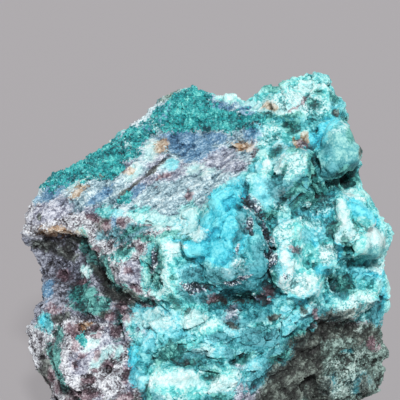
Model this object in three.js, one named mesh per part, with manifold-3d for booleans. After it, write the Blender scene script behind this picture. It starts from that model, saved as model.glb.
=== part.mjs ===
// A hand-sized rough stone of quantum quattro: one broken block of sugary quartz
// matrix grown through with chrysocolla, malachite, dioptase and shattuckite.
// It is a single natural piece, so the model is a single closed solid.
//
// The shape is worked out in a face frame: x to the right across the broad front
// face, y up it and z out of it. The finished stone leans back and stands on a
// flat broken foot.

import * as THREE from 'three';
import { ImprovedNoise } from 'three/addons/math/ImprovedNoise.js';
import { mergeVertices } from 'three/addons/utils/BufferGeometryUtils.js';
import Module from 'manifold-3d';

// Driving dimensions, in millimetres and degrees.
const LEAN = 15; // how far the broad front face leans back from upright
const FOOT_DROP = 36; // from the middle of the front face down to the foot
const EDGE_WEAR = 2.2; // how widely the broken edges are rounded
const WAIST = 2; // depth at which the outline is widest
const HALF_DEPTH = 25; // from the waist to the front or to the back
const SIDE_TAPER = 4.5; // how far the sides have drawn in there
const SIDE_DRIFT = 6; // how far the ridges of the sides wander on the way there
const DRIFT_SPACING = 11; // between one bend of a ridge and the next
const GRAIN = [[17, 1.3], [8, 0.7], [4, 0.35]]; // lump spacing and height
const CORE = new THREE.Vector3(0, -3, 0); // the skin is measured out from here
const REACH = 64; // no point of the skin is further from the core
const SKIN_STEP = 0.5; // step of the search along each ray
const SKIN_HALVINGS = 10; // halvings of that step at the skin
const MESH_DETAIL = 20; // splits of each icosahedron edge, about 2 mm apart

// Outline seen square on to the front face, clockwise from the left corner.
const OUTLINE = [
  [-36.6, 9.5], [-35.0, 12.8], [-29.0, 18.0], [-20.8, 24.6], [-14.6, 28.2],
  [-11.8, 32.2], [-7.4, 34.0], [-2.6, 36.2], [2.0, 34.8], [8.6, 33.2],
  [11.0, 35.8], [20.0, 37.8], [24.4, 37.0], [27.6, 30.8], [29.0, 24.4],
  [30.4, 21.8], [30.4, 13.4], [34.6, 7.4], [36.4, 1.2], [35.4, -1.0],
  [36.8, -6.6], [35.8, -12.0], [34.2, -14.8], [37.2, -22.4], [35.0, -30.0],
  [27.0, -42.0], [-18.0, -44.0], [-29.6, -28.0], [-34.9, -16.0], [-33.2, -11.0],
  [-32.8, -3.6], [-36.0, 4.0],
];

// Broken faces: a point on each and the way it faces.
const FACES = [
  { at: [-15, 3, 18], facing: [-0.55, 1.13, 1] }, // sloping quartz shelf
  { at: [-34, -4, 3], facing: [-0.72, 0.3, 1] }, // left cheek
  { at: [0, 0, 22], facing: [0, 0.1, 1] }, // front
  { at: [12.5, -11, 22], facing: [0.95, -0.4, 1] }, // lower right
  { at: [12, 5, 23], facing: [0.6, 0.1, 1] }, // right
  { at: [16, 12, 21], facing: [0.2, 0.8, 1] }, // upper right
  { at: [0, -36, 25], facing: [-0.1, -1.2, 1] }, // front below
  { at: [-25, -33, 4], facing: [-0.7, -1, 0.1] }, // left below
  { at: [30, -34, 2], facing: [0.9, -1, 0.1] }, // right below
  { at: [-8, 24, -20], facing: [-0.3, 0.8, -1] }, // upper back
  { at: [-4, 4, -25], facing: [-0.15, 0.05, -1] }, // back
  { at: [14, -6, -25], facing: [0.35, -0.1, -1] }, // back, right of the middle
  { at: [27, 8, -17], facing: [1.4, 0.35, -1] }, // back right
  { at: [-28, -6, -14], facing: [-1.3, -0.2, -1] }, // back left
  { at: [0, -24, -20], facing: [-0.2, -0.9, -1] }, // back below
];

// Shell-shaped chips knocked out of the sides and the back: the middle and the radius
// of the ball that fits each.
const CHIPS = [
  { at: [-6, 14, -45], radius: 24 },
  { at: [20, -16, -38], radius: 17 },
  { at: [-24, -18, -35], radius: 19 },
  { at: [44, 20, -22], radius: 20 },
  { at: [-52, -26, -12], radius: 22 },
  { at: [-24, 42, -26], radius: 22 },
  { at: [16, 46, -26], radius: 20 },
  { at: [47, -30, -16], radius: 19 },
  { at: [55, -4, -15], radius: 22 },
  { at: [-56, 4, -20], radius: 25 },
];

// Swellings of the front (rise above 0) and hollows in it (below 0). Half sizes run
// along and across; turn is anticlockwise; abrupt ones have a sharp shoulder.
const RELIEF = [
  { at: [5.6, 4.4], half: [7.5, 10.2], turn: 0, rise: 4.5, abrupt: true }, // blue boss
  { at: [18.6, 0.2], half: [6.6, 8.8], turn: 0, rise: 4.5, abrupt: true }, // round boss
  { at: [17.0, 16.4], half: [4.8, 6.2], turn: 10, rise: 4, abrupt: true }, // upper boss
  { at: [25.6, 20.6], half: [4.4, 6.4], turn: 15, rise: 4.5, abrupt: true }, // nodule
  { at: [30.6, 7.2], half: [5.2, 7.4], turn: 25, rise: 5, abrupt: true }, // right knob
  { at: [17.0, 31.5], half: [9.0, 5.0], turn: 10, rise: 3, abrupt: false }, // top block
  { at: [-2.0, 32.0], half: [8.0, 5.0], turn: 0, rise: 3, abrupt: false }, // peak
  { at: [-11.0, 0.0], half: [11.0, 8.0], turn: -35, rise: 3.5, abrupt: false }, // ledge
  { at: [-22.0, -22.0], half: [10.0, 10.0], turn: 0, rise: 4, abrupt: false }, // left foot
  { at: [-2.0, -24.0], half: [14.0, 9.0], turn: 0, rise: 3, abrupt: false }, // front foot
  { at: [29.0, -7.8], half: [8.5, 3.4], turn: 20, rise: 6, abrupt: true }, // right ridge
  { at: [-29.5, -1.6], half: [10.0, 7.4], turn: -14, rise: -9, abrupt: false }, // undercut
  { at: [-20.5, -4.0], half: [7.0, 3.2], turn: -48, rise: -4, abrupt: false }, // ledge foot
  { at: [-12.5, -9.4], half: [7.0, 2.6], turn: -20, rise: -5, abrupt: false }, // ledge toe
  { at: [7.0, -8.0], half: [8.0, 3.0], turn: 0, rise: -5, abrupt: false }, // under boss
  { at: [12.2, 3.0], half: [2.2, 9.0], turn: 5, rise: -4, abrupt: false }, // between bosses
  { at: [22.0, 25.6], half: [5.0, 2.2], turn: -25, rise: -3, abrupt: false }, // block's foot
  { at: [28.2, 15.2], half: [4.8, 3.0], turn: 10, rise: -7, abrupt: false }, // cavity
  { at: [22.0, 13.0], half: [3.2, 3.8], turn: 0, rise: -5, abrupt: false }, // valley
  { at: [26.8, -1.5], half: [2.8, 5.0], turn: 0, rise: -4, abrupt: false }, // pocket
  { at: [9.0, 31.5], half: [3.0, 4.0], turn: 0, rise: -2, abrupt: false }, // top saddle
];

const noise = new ImprovedNoise();
const outline = OUTLINE.map(([x, y]) => new THREE.Vector2(x, y));
const faces = FACES.map(({ at, facing }) => new THREE.Plane().setFromNormalAndCoplanarPoint(
  new THREE.Vector3(...facing).normalize(),
  new THREE.Vector3(...at),
));

// The larger of two distances, rounded where they are nearly equal.
function roundedMax(a, b) {
  const overlap = Math.max(EDGE_WEAR - Math.abs(a - b), 0);
  return Math.max(a, b) + (overlap * overlap) / (4 * EDGE_WEAR);
}

// Distance from a point of the front view to the outline, below 0 inside it.
function outlineDistance(x, y) {
  let nearest = Infinity;
  let inside = false;
  outline.forEach((a, i) => {
    const b = outline[(i + 1) % outline.length];
    const along = new THREE.Vector2().subVectors(b, a);
    const gap = new THREE.Vector2(x - a.x, y - a.y);
    const t = THREE.MathUtils.clamp(gap.dot(along) / along.lengthSq(), 0, 1);
    nearest = Math.min(nearest, gap.addScaledVector(along, -t).length());
    const crosses = (a.y > y) !== (b.y > y);
    if (crosses && x < a.x + ((y - a.y) * along.x) / along.y) {
      inside = !inside;
    }
  });
  return inside ? -nearest : nearest;
}

// Height that the swellings and hollows add to the front at one place.
function reliefHeight(x, y) {
  return RELIEF.reduce((height, { at, half, turn, rise, abrupt }) => {
    const angle = THREE.MathUtils.degToRad(turn);
    const dx = x - at[0];
    const dy = y - at[1];
    const along = (dx * Math.cos(angle) + dy * Math.sin(angle)) / half[0];
    const across = (dy * Math.cos(angle) - dx * Math.sin(angle)) / half[1];
    const spread = Math.min(along * along + across * across, 1);
    return height + rise * (abrupt ? 1 - spread * spread : (1 - spread) * (1 - spread));
  }, 0);
}

// Distance to the sides: the outline, drawn in and wandering towards front and back.
function sideDistance({ x, y, z }) {
  const depth = (z - WAIST) / HALF_DEPTH;
  const drift = SIDE_DRIFT * Math.min(Math.abs(depth), 1);
  const bend = (at, level) => drift * noise.noise(at / DRIFT_SPACING, z / DRIFT_SPACING, level);
  return outlineDistance(x + bend(y, 0.5), y + bend(x, 3.5)) + SIDE_TAPER * depth * depth;
}

// Signed distance to the skin: above 0 outside the stone.
function skin(point) {
  const relief = reliefHeight(point.x, point.y);
  let distance = sideDistance(point);
  faces.forEach((face) => {
    const front = Math.max(face.normal.z, 0);
    distance = roundedMax(distance, face.distanceToPoint(point) - relief * front);
  });
  CHIPS.forEach(({ at, radius }) => {
    distance = Math.max(distance, radius - point.distanceTo(new THREE.Vector3(...at)));
  });
  return GRAIN.reduce((sum, [spacing, height]) => (
    sum + height * noise.noise(point.x / spacing, point.y / spacing, point.z / spacing)
  ), distance);
}

// Distance from the core to the skin along one direction.
function skinRadius(direction) {
  const at = (radius) => skin(direction.clone().multiplyScalar(radius).add(CORE));
  let radius = REACH;
  while (at(radius) > 0) {
    radius -= SKIN_STEP;
  }
  let step = SKIN_STEP;
  for (let i = 0; i < SKIN_HALVINGS; i += 1) {
    step /= 2;
    radius += at(radius + step) < 0 ? step : 0;
  }
  return radius;
}

// The whole stone in its face frame, as a skin of even triangles.
function stoneGeometry() {
  const ball = new THREE.IcosahedronGeometry(1, MESH_DETAIL);
  ball.deleteAttribute('normal');
  ball.deleteAttribute('uv');
  const geometry = mergeVertices(ball);
  const position = geometry.getAttribute('position');
  const point = new THREE.Vector3();
  for (let i = 0; i < position.count; i += 1) {
    point.fromBufferAttribute(position, i).normalize();
    point.multiplyScalar(skinRadius(point)).add(CORE);
    position.setXYZ(i, point.x, point.y, point.z);
  }
  return geometry;
}

// A manifold solid from a closed geometry, and back.
function toSolid(wasm, geometry) {
  const vertProperties = new Float32Array(geometry.getAttribute('position').array);
  const triVerts = new Uint32Array(geometry.index.array);
  return new wasm.Manifold(new wasm.Mesh({ numProp: 3, vertProperties, triVerts }));
}

function toGeometry(solid) {
  const mesh = solid.getMesh();
  const geometry = new THREE.BufferGeometry();
  geometry.setAttribute('position', new THREE.BufferAttribute(mesh.vertProperties, 3));
  geometry.setIndex(new THREE.BufferAttribute(mesh.triVerts, 1));
  return geometry;
}

const wasm = await Module();
wasm.setup();

// Stood up in its leaning rest, then broken off flat at the foot.
const upright = stoneGeometry();
upright.rotateX(THREE.MathUtils.degToRad(90 - LEAN));
upright.translate(0, 0, FOOT_DROP);

const below = new THREE.BoxGeometry(4 * REACH, 4 * REACH, 2 * REACH);
below.translate(0, 0, -REACH);
below.deleteAttribute('normal');
below.deleteAttribute('uv');
const ground = toSolid(wasm, mergeVertices(below));

const geometry = toGeometry(toSolid(wasm, upright).subtract(ground));
geometry.computeBoundingBox();
const middle = geometry.boundingBox.getCenter(new THREE.Vector3());
geometry.translate(-middle.x, -middle.y, 0);
geometry.computeVertexNormals();

const mineral = new THREE.MeshStandardMaterial({ color: 0x6fc3c6, roughness: 0.8, metalness: 0 });
const stone = new THREE.Mesh(geometry, mineral);
stone.name = 'stone';

const specimen = new THREE.Group();
specimen.add(stone);

export default specimen;
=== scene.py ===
import math
import random

import bmesh
import bpy
import numpy as np
from mathutils import Matrix, Vector, noise
from mathutils.bvhtree import BVHTree


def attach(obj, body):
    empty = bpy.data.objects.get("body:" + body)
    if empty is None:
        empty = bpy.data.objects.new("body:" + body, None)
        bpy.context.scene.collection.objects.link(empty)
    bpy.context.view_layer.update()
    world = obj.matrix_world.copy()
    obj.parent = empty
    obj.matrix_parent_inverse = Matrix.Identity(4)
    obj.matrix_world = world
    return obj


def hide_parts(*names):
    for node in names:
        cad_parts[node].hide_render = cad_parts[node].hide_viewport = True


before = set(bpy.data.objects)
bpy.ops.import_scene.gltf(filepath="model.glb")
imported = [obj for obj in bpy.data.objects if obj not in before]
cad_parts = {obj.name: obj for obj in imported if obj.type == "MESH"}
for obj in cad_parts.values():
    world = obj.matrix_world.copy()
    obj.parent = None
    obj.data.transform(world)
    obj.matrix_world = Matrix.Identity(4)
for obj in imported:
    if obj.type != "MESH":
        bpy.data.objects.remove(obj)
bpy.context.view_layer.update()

scene = bpy.context.scene

# ---------------------------------------------------------------------------
# Camera. It looks square on to the broad front face, which leans back, from far
# enough away that the stone is seen almost without perspective. The stone's own
# directions are set here: right across the front face, up it, and out of it.
# ---------------------------------------------------------------------------
MM = 0.001
LEAN = math.radians(15)
RIGHT = Vector((1, 0, 0))
UP = Vector((0, math.sin(LEAN), math.cos(LEAN)))
OUT = Vector((0, -math.cos(LEAN), math.sin(LEAN)))
FACE_MIDDLE = Vector((-0.01, 0.71, 36.0)) * MM
VIEW_WIDTH = 80 * MM
VIEW_MIDDLE = (-1.2, 12.0)


def on_face(across, up, out=0.0):
    """The place in the frame of a point given in mm from the middle of the front face."""
    return FACE_MIDDLE + (across * RIGHT + up * UP + out * OUT) * MM


camera = bpy.data.objects.new("camera", bpy.data.cameras.new("camera"))
scene.collection.objects.link(camera)
scene.camera = camera
camera.data.lens = 200
camera.data.sensor_width = 36
camera_distance = VIEW_WIDTH * camera.data.lens / camera.data.sensor_width
camera.location = on_face(*VIEW_MIDDLE) + OUT * camera_distance
camera.rotation_euler = (-OUT).to_track_quat("-Z", "Y").to_euler()

# ---------------------------------------------------------------------------
# Studio: a plain pale floor, a soft key light high in front, a weak
# one from the right behind, and even light all round.
# ---------------------------------------------------------------------------


def linear(code):
    """An sRGB hex colour as linear red, green and blue, with alpha."""
    parts = [int(code[i:i + 2], 16) / 255 for i in (1, 3, 5)]
    return [c / 12.92 if c <= 0.04045 else ((c + 0.055) / 1.055) ** 2.4 for c in parts] + [1.0]


def add(tree, kind, inputs=None, **settings):
    """Adds a node. An input's value is a plain value, or an output socket to link from."""
    node = tree.nodes.new(kind)
    for name, value in settings.items():
        setattr(node, name, value)
    for name, value in (inputs or {}).items():
        socket = node.inputs[name]
        if isinstance(value, bpy.types.NodeSocket):
            tree.links.new(value, socket)
        else:
            socket.default_value = value
    return node


def sun(name, azimuth, elevation, strength, spread):
    """A distant soft light. Azimuth 0 is in front of the stone, positive to its right."""
    light = bpy.data.lights.new(name, "SUN")
    light.energy = strength
    light.angle = math.radians(spread)
    lamp = bpy.data.objects.new(name, light)
    turn, rise = math.radians(azimuth), math.radians(elevation)
    to_light = Vector((
        math.sin(turn) * math.cos(rise), -math.cos(turn) * math.cos(rise), math.sin(rise)
    ))
    lamp.rotation_euler = to_light.to_track_quat("Z", "Y").to_euler()
    scene.collection.objects.link(lamp)


sun("key_light", 6, 34, 2.85, 6)
sun("back_light", 150, 40, 0.7, 30)

world = bpy.data.worlds.new("studio")
scene.world = world
world.use_nodes = True
world.node_tree.nodes["Background"].inputs["Color"].default_value = linear("#F2F2F4")
world.node_tree.nodes["Background"].inputs["Strength"].default_value = 0.34
scene.view_settings.view_transform = "Standard"

floor_mesh = bpy.data.meshes.new("floor")
floor_half = 4.0
floor_mesh.from_pydata(
    [(x * floor_half, y * floor_half, 0) for x, y in ((-1, -1), (1, -1), (1, 1), (-1, 1))],
    [], [(0, 1, 2, 3)],
)
floor = bpy.data.objects.new("floor", floor_mesh)
scene.collection.objects.link(floor)
card = bpy.data.materials.new("backlit_grey_card")
card.use_nodes = True
paper = card.node_tree.nodes["Principled BSDF"].inputs
paper["Base Color"].default_value = linear("#605E5F")
paper["Roughness"].default_value = 0.95
paper["Emission Color"].default_value = linear("#B2AEB1")
paper["Emission Strength"].default_value = 0.64
floor_mesh.materials.append(card)

# ---------------------------------------------------------------------------
# The stone's body: one broken block of quartz matrix, with the crusts that grew
# on it. It starts as the solid itself, gets its rounded lumps, and is then made one
# skin again and broken into facets.
# ---------------------------------------------------------------------------
COARSE_GRID = 0.36 * MM
FINE_GRID = 0.27 * MM
BODY_TRIANGLES = 196000
LARGE_FACET = 5.5
MIDDLE_FACET = 2.4
SMALL_FACET = 1.15
RIB_TURN = 0.58
HULL_CORNERS = 18

# Lumps on the front, round ones where a crust grew as a ball or a bead, angular ones
# where it broke: across and up, half sizes across, up and out, turn in degrees, and how
# far the middle stands out of the surface. All mm.
ROUND_LUMPS = [
    (25.8, 22.8, 3.2, 4.5, 3.4, 8, 1.2),     # large smooth nodule, its dome
    (27.2, 20.8, 2.8, 2.4, 2.6, 20, 1.0),    # its bulge to the right
    (24.6, 19.4, 2.9, 3.5, 2.9, -10, 1.0),   # its lower end
    (24.2, 18.2, 1.4, 1.5, 1.2, 0, 2.9),     # a bud on it
    (23.2, 25.4, 1.8, 2.4, 1.8, -20, 0.4),   # its blue cap
    (32.4, 3.4, 2.2, 3.3, 2.4, 8, 0.6),      # smooth nodule at the right edge
    (26.3, 9.5, 1.8, 3.4, 1.8, 10, 0.8),     # right knob, left lobe
    (29.4, 9.6, 3.5, 1.8, 1.8, -36, 0.6),    # right knob, upper lobe
    (22.8, 0.9, 2.4, 2.6, 1.4, 0, 0.7),      # eye of the round boss
    (14.5, -0.6, 2.5, 4.4, 1.5, 0, 0.8),      # its left edge
    (17.4, -3.4, 3.6, 3.0, 1.2, 0, 0.4),     # its cream lobe
    (17.0, 18.4, 3.9, 3.5, 2.0, 0, 0.8),     # upper boss, main dome
    (20.3, 23.2, 1.2, 2.0, 1.4, 0, 0.3),     # blue bead beside the nodule
    (9.2, -0.2, 2.5, 2.5, 1.6, 0, 0.5),      # blue boss, lower right lobe
    (5.7, 0.9, 1.2, 1.1, 0.8, 0, 0.5),       # pale beads on it
    (4.1, -1.6, 1.1, 0.8, 0.7, 0, 0.5),
    (-13.8, -18.2, 0.8, 2.2, 0.9, 0, 0.3),   # bright beads at the crust's edge
    (-12.1, -22.6, 1.2, 1.6, 0.9, 0, 0.3),
    (-12.0, -17.4, 1.2, 1.0, 0.8, 0, 0.3),
    (-11.9, -19.6, 1.1, 0.9, 0.8, 0, 0.3),
    (-5.6, -25.4, 5.6, 5.4, 1.8, 0, 0.2),    # pale dome at the foot of the crust
]
BROKEN_LUMPS = [
    (2.8, -22.4, 3.4, 1.2, 1.5, 16, 0.9),    # white lens under the ledges
    (-2.4, -10.4, 3.0, 1.7, 1.6, 12, 1.1),
    (-13.4, -10.8, 2.4, 1.6, 1.2, -10, 0.8),
    (17.4, -9.6, 3.2, 1.8, 1.4, 12, 0.6),    # ledge under the round boss
    (30.4, -24.0, 5.2, 5.6, 4.4, 0, -1.4),   # lower right edge of the matrix
    (29.6, 3.2, 2.8, 3.4, 2.0, 0, 1.0),      # between the round boss and the right edge
    (22.8, 9.0, 3.2, 1.8, 1.2, 10, 0.0),
    (26.8, 5.6, 2.4, 2.8, 2.2, 0, 2.1),
    (31.6, -2.6, 3.4, 2.2, 2.2, -20, 1.7),   # ledge below the right knob
    (15.6, 5.0, 3.0, 2.8, 1.2, 10, 0.8),     # upper left of the round boss
    (11.8, 18.6, 1.9, 2.6, 1.3, 0, 0.6),     # beside the upper boss
    (12.6, 24.8, 3.3, 2.6, 1.4, 10, 0.7),
    (10.8, 13.8, 3.2, 2.4, 1.2, -45, 0.4),   # pale facet
    (13.0, 11.4, 2.2, 1.6, 1.0, 20, 0.3),
    (12.6, 34.0, 2.6, 2.0, 1.2, 0, 0.2),     # top block
    (16.6, 31.8, 3.8, 3.4, 1.6, 10, 0.5),
    (21.8, 31.4, 3.2, 3.6, 1.6, -12, 0.5),
    (24.8, 30.2, 2.6, 3.2, 1.4, 0, -0.4),
    (8.6, 30.9, 3.2, 1.4, 1.2, -8, 0.2),     # mint ridge left of it
    (3.8, 11.4, 3.6, 3.2, 1.6, -20, 0.6),    # blue boss, upper lobe
    (4.4, 5.6, 3.0, 3.4, 1.5, 15, 0.6),
    (-0.6, 3.4, 4.0, 2.8, 1.3, 8, 0.5),
    (-6.5, 3.3, 2.3, 0.7, 0.7, 0, 0.3),      # white lens
    (-1.4, -1.0, 2.2, 1.7, 0.9, 15, 0.2),
    (-6.5, -7.2, 2.5, 1.0, 0.8, -15, 0.2),   # green lenses
    (-3.4, -9.6, 1.7, 1.1, 0.7, 0, 0.2),
    (4.7, -9.8, 1.9, 1.4, 1.0, 0, 0.3),      # lilac lump in the recess
    (28.0, -7.6, 4.0, 2.8, 1.6, 16, 0.5),    # pale speckled ridge
    (31.4, -7.8, 3.0, 2.4, 1.4, 4, 0.4),
    (20.8, -9.4, 1.5, 2.8, 1.2, -8, 0.3),
    (-12.3, -13.2, 1.0, 1.9, 0.7, 15, 0.2),
    (-23.9, -14.5, 0.8, 0.8, 0.7, 0, 0.4),   # one green crystal
    (-32.0, -12.0, 1.3, 1.6, 0.9, 0, 0.3),
    (-21.4, -20.0, 7.0, 6.4, 2.4, 30, 0.4),  # swellings of the matrix
    (-17.4, -24.6, 4.4, 4.0, 1.6, 0, 0.4),
    (-24.0, -2.2, 2.1, 1.6, 1.1, 0, 0.9),
    (-27.4, -2.0, 2.6, 1.7, 1.1, 0, 0.7),
    (-14.6, -1.8, 3.2, 3.6, 1.4, 10, 0.2),
    (-9.2, 22.4, 2.6, 1.3, 1.0, 52, 0.2),    # ribs on the quartz shelf
    (-14.0, 17.6, 3.4, 1.7, 1.1, 46, 0.2),
    (-19.4, 13.6, 4.0, 0.9, 0.6, 35, 0.2),
    (-25.4, 13.9, 3.0, 0.9, 0.5, 33, 0.1),
    (-14.2, 25.4, 1.4, 1.0, 0.7, 20, 0.2),
    (27.6, -21.6, 5.0, 3.2, 1.2, 30, 0.0),   # pale knob in the shaded face
    (-4.8, -21.6, 5.8, 2.2, 1.6, 4, 0.8),    # upper edge of the pale dome
]

# Deep clefts and hollows of the front, as lines with a half width and a depth. All mm.
CLEFTS = [
    ((-26.0, 4.2), (-22.6, 0.0), (-20.0, -4.0), (-17.4, -6.8), (-16.4, -7.4), 1.4, 2.0),
    ((-13.4, -8.4), (-9.2, -8.4), (-6.6, -10.6), 0.5, 1.0),
    ((-33.6, 3.6), (-31.0, 3.2), (-26.0, 3.2), 3.3, 2.4),
    ((7.0, 12.8), (9.4, 10.8), (11.2, 9.0), 0.9, 1.7),
    ((10.2, 8.4), (11.4, 5.4), (11.9, 2.6), 0.5, 1.4),
    ((6.6, 16.0), (7.8, 14.4), 0.5, 1.2),
    ((1.6, -7.0), (5.0, -6.4), (8.6, -7.4), (10.6, -6.0), 3.0, 0.9),
    ((10.8, -4.8), (12.8, -5.8), 1.4, 0.7),
    ((-2.4, -4.2), (1.4, -4.8), 0.7, 1.0),
    ((12.0, -9.2), (13.0, -10.8), 0.7, 1.2),
    ((3.4, -11.4), (5.0, -11.6), 0.7, 1.0),
    ((20.9, 20.6), (20.9, 16.4), (20.7, 12.8), 0.9, 2.6),
    ((24.4, 15.0), (27.0, 16.0), (30.6, 17.2), 1.5, 3.2),
    ((27.0, 3.4), (27.4, 1.8), 0.7, 1.6),
    ((26.0, -4.2), (28.0, -5.0), 1.3, 1.7),
    ((14.0, 11.4), (19.4, 16.6), 0.45, 1.0),
    ((15.8, 10.8), (20.0, 14.4), 0.45, 1.0),
    ((12.8, 15.0), (14.8, 17.2), 0.5, 0.9),
    ((15.8, 27.0), (18.4, 26.0), 0.9, 0.8),
    ((4.8, -19.0), (7.4, -17.0), 0.8, 1.8),
    ((-0.8, -20.8), (1.6, -21.4), 0.6, 0.9),
    ((12.0, -19.4), (14.6, -18.6), 0.9, 1.4),
    ((19.4, -18.4), (22.6, -17.4), 1.4, 1.4),
    ((20.8, -24.2), (24.2, -29.0), 2.2, 2.4),
    ((-8.4, 20.2), (-12.0, 17.0), (-15.0, 14.4), (-19.4, 11.6), 0.45, 1.0),
    ((-12.6, 26.6), (-11.4, 25.6), 0.9, 0.8),
    ((-17.4, 21.6), (-16.4, 20.8), 0.8, 0.8),
    ((-30.0, -14.0), (-30.2, -20.0), (-28.0, -23.4), (-24.8, -27.0), 0.8, 0.9),
    ((-17.0, -10.0), (-16.4, -14.4), 0.7, 1.2),
    ((-9.6, 2.6), (-9.2, -3.4), 0.9, 0.8),
]

# The broad areas of the front, as outlines in mm: the even quartz shelf that copper has
# washed with blue, the dusky hollow under it at the left, the copper crust right of and
# below the quartz, and the shaded broken face at the lower right.
AREAS = {
    "washed": [
        (-36.0, 12.0), (-24.0, 9.6), (-14.0, 8.4), (-8.0, 6.4), (2.0, 8.0), (9.0, 16.0),
        (8.0, 24.0), (10.0, 30.0), (8.0, 42.0), (-20.0, 36.0), (-40.0, 20.0),
    ],
    # Violet grey quartz under the shelf, darkened as painted shade where the overhang shades it.
    "dusky": [
        (-38.0, 5.0), (-30.0, 5.6), (-24.4, 4.6), (-20.0, -2.6), (-14.0, -7.6), (-13.4, -10.6),
        (-15.6, -13.4), (-20.0, -12.0), (-26.0, -11.4), (-33.0, -12.4), (-38.0, -12.0),
    ],
    "crust": [
        (2.0, 45.0), (2.2, 33.6), (6.4, 31.4), (10.4, 29.2), (10.6, 26.4), (9.6, 22.0), (8.6, 19.4),
        (7.2, 16.4), (1.6, 14.6), (0.2, 12.6), (-1.0, 9.6), (-2.2, 6.6), (-10.6, 4.6), (-11.6, 1.0),
        (-12.2, -3.4), (-9.4, -6.6), (-9.6, -8.6), (-12.8, -9.0), (-14.2, -14.0), (-14.6, -17.4),
        (-13.6, -21.4), (-11.8, -24.6), (-12.0, -45.0), (4.0, -45.0), (6.0, -24.0), (10.4, -21.8),
        (12.0, -19.4), (15.4, -16.6), (18.4, -13.4), (20.4, -11.6), (24.6, -12.2), (34.0, -11.6),
        (45.0, -11.0), (45.0, 45.0),
    ],
    # Painted shade: the shaded face is coloured darker than its brown-green stone, on top of the shade its
    # turn gives it.
    "shaded": [
        (18.0, -13.6), (20.8, -11.4), (24.6, -12.4), (34.0, -12.4), (45.0, -12.0), (45.0, -45.0),
        (5.0, -45.0), (6.4, -25.6), (10.6, -22.0), (12.4, -19.4), (15.4, -16.8),
    ],
}
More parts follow.
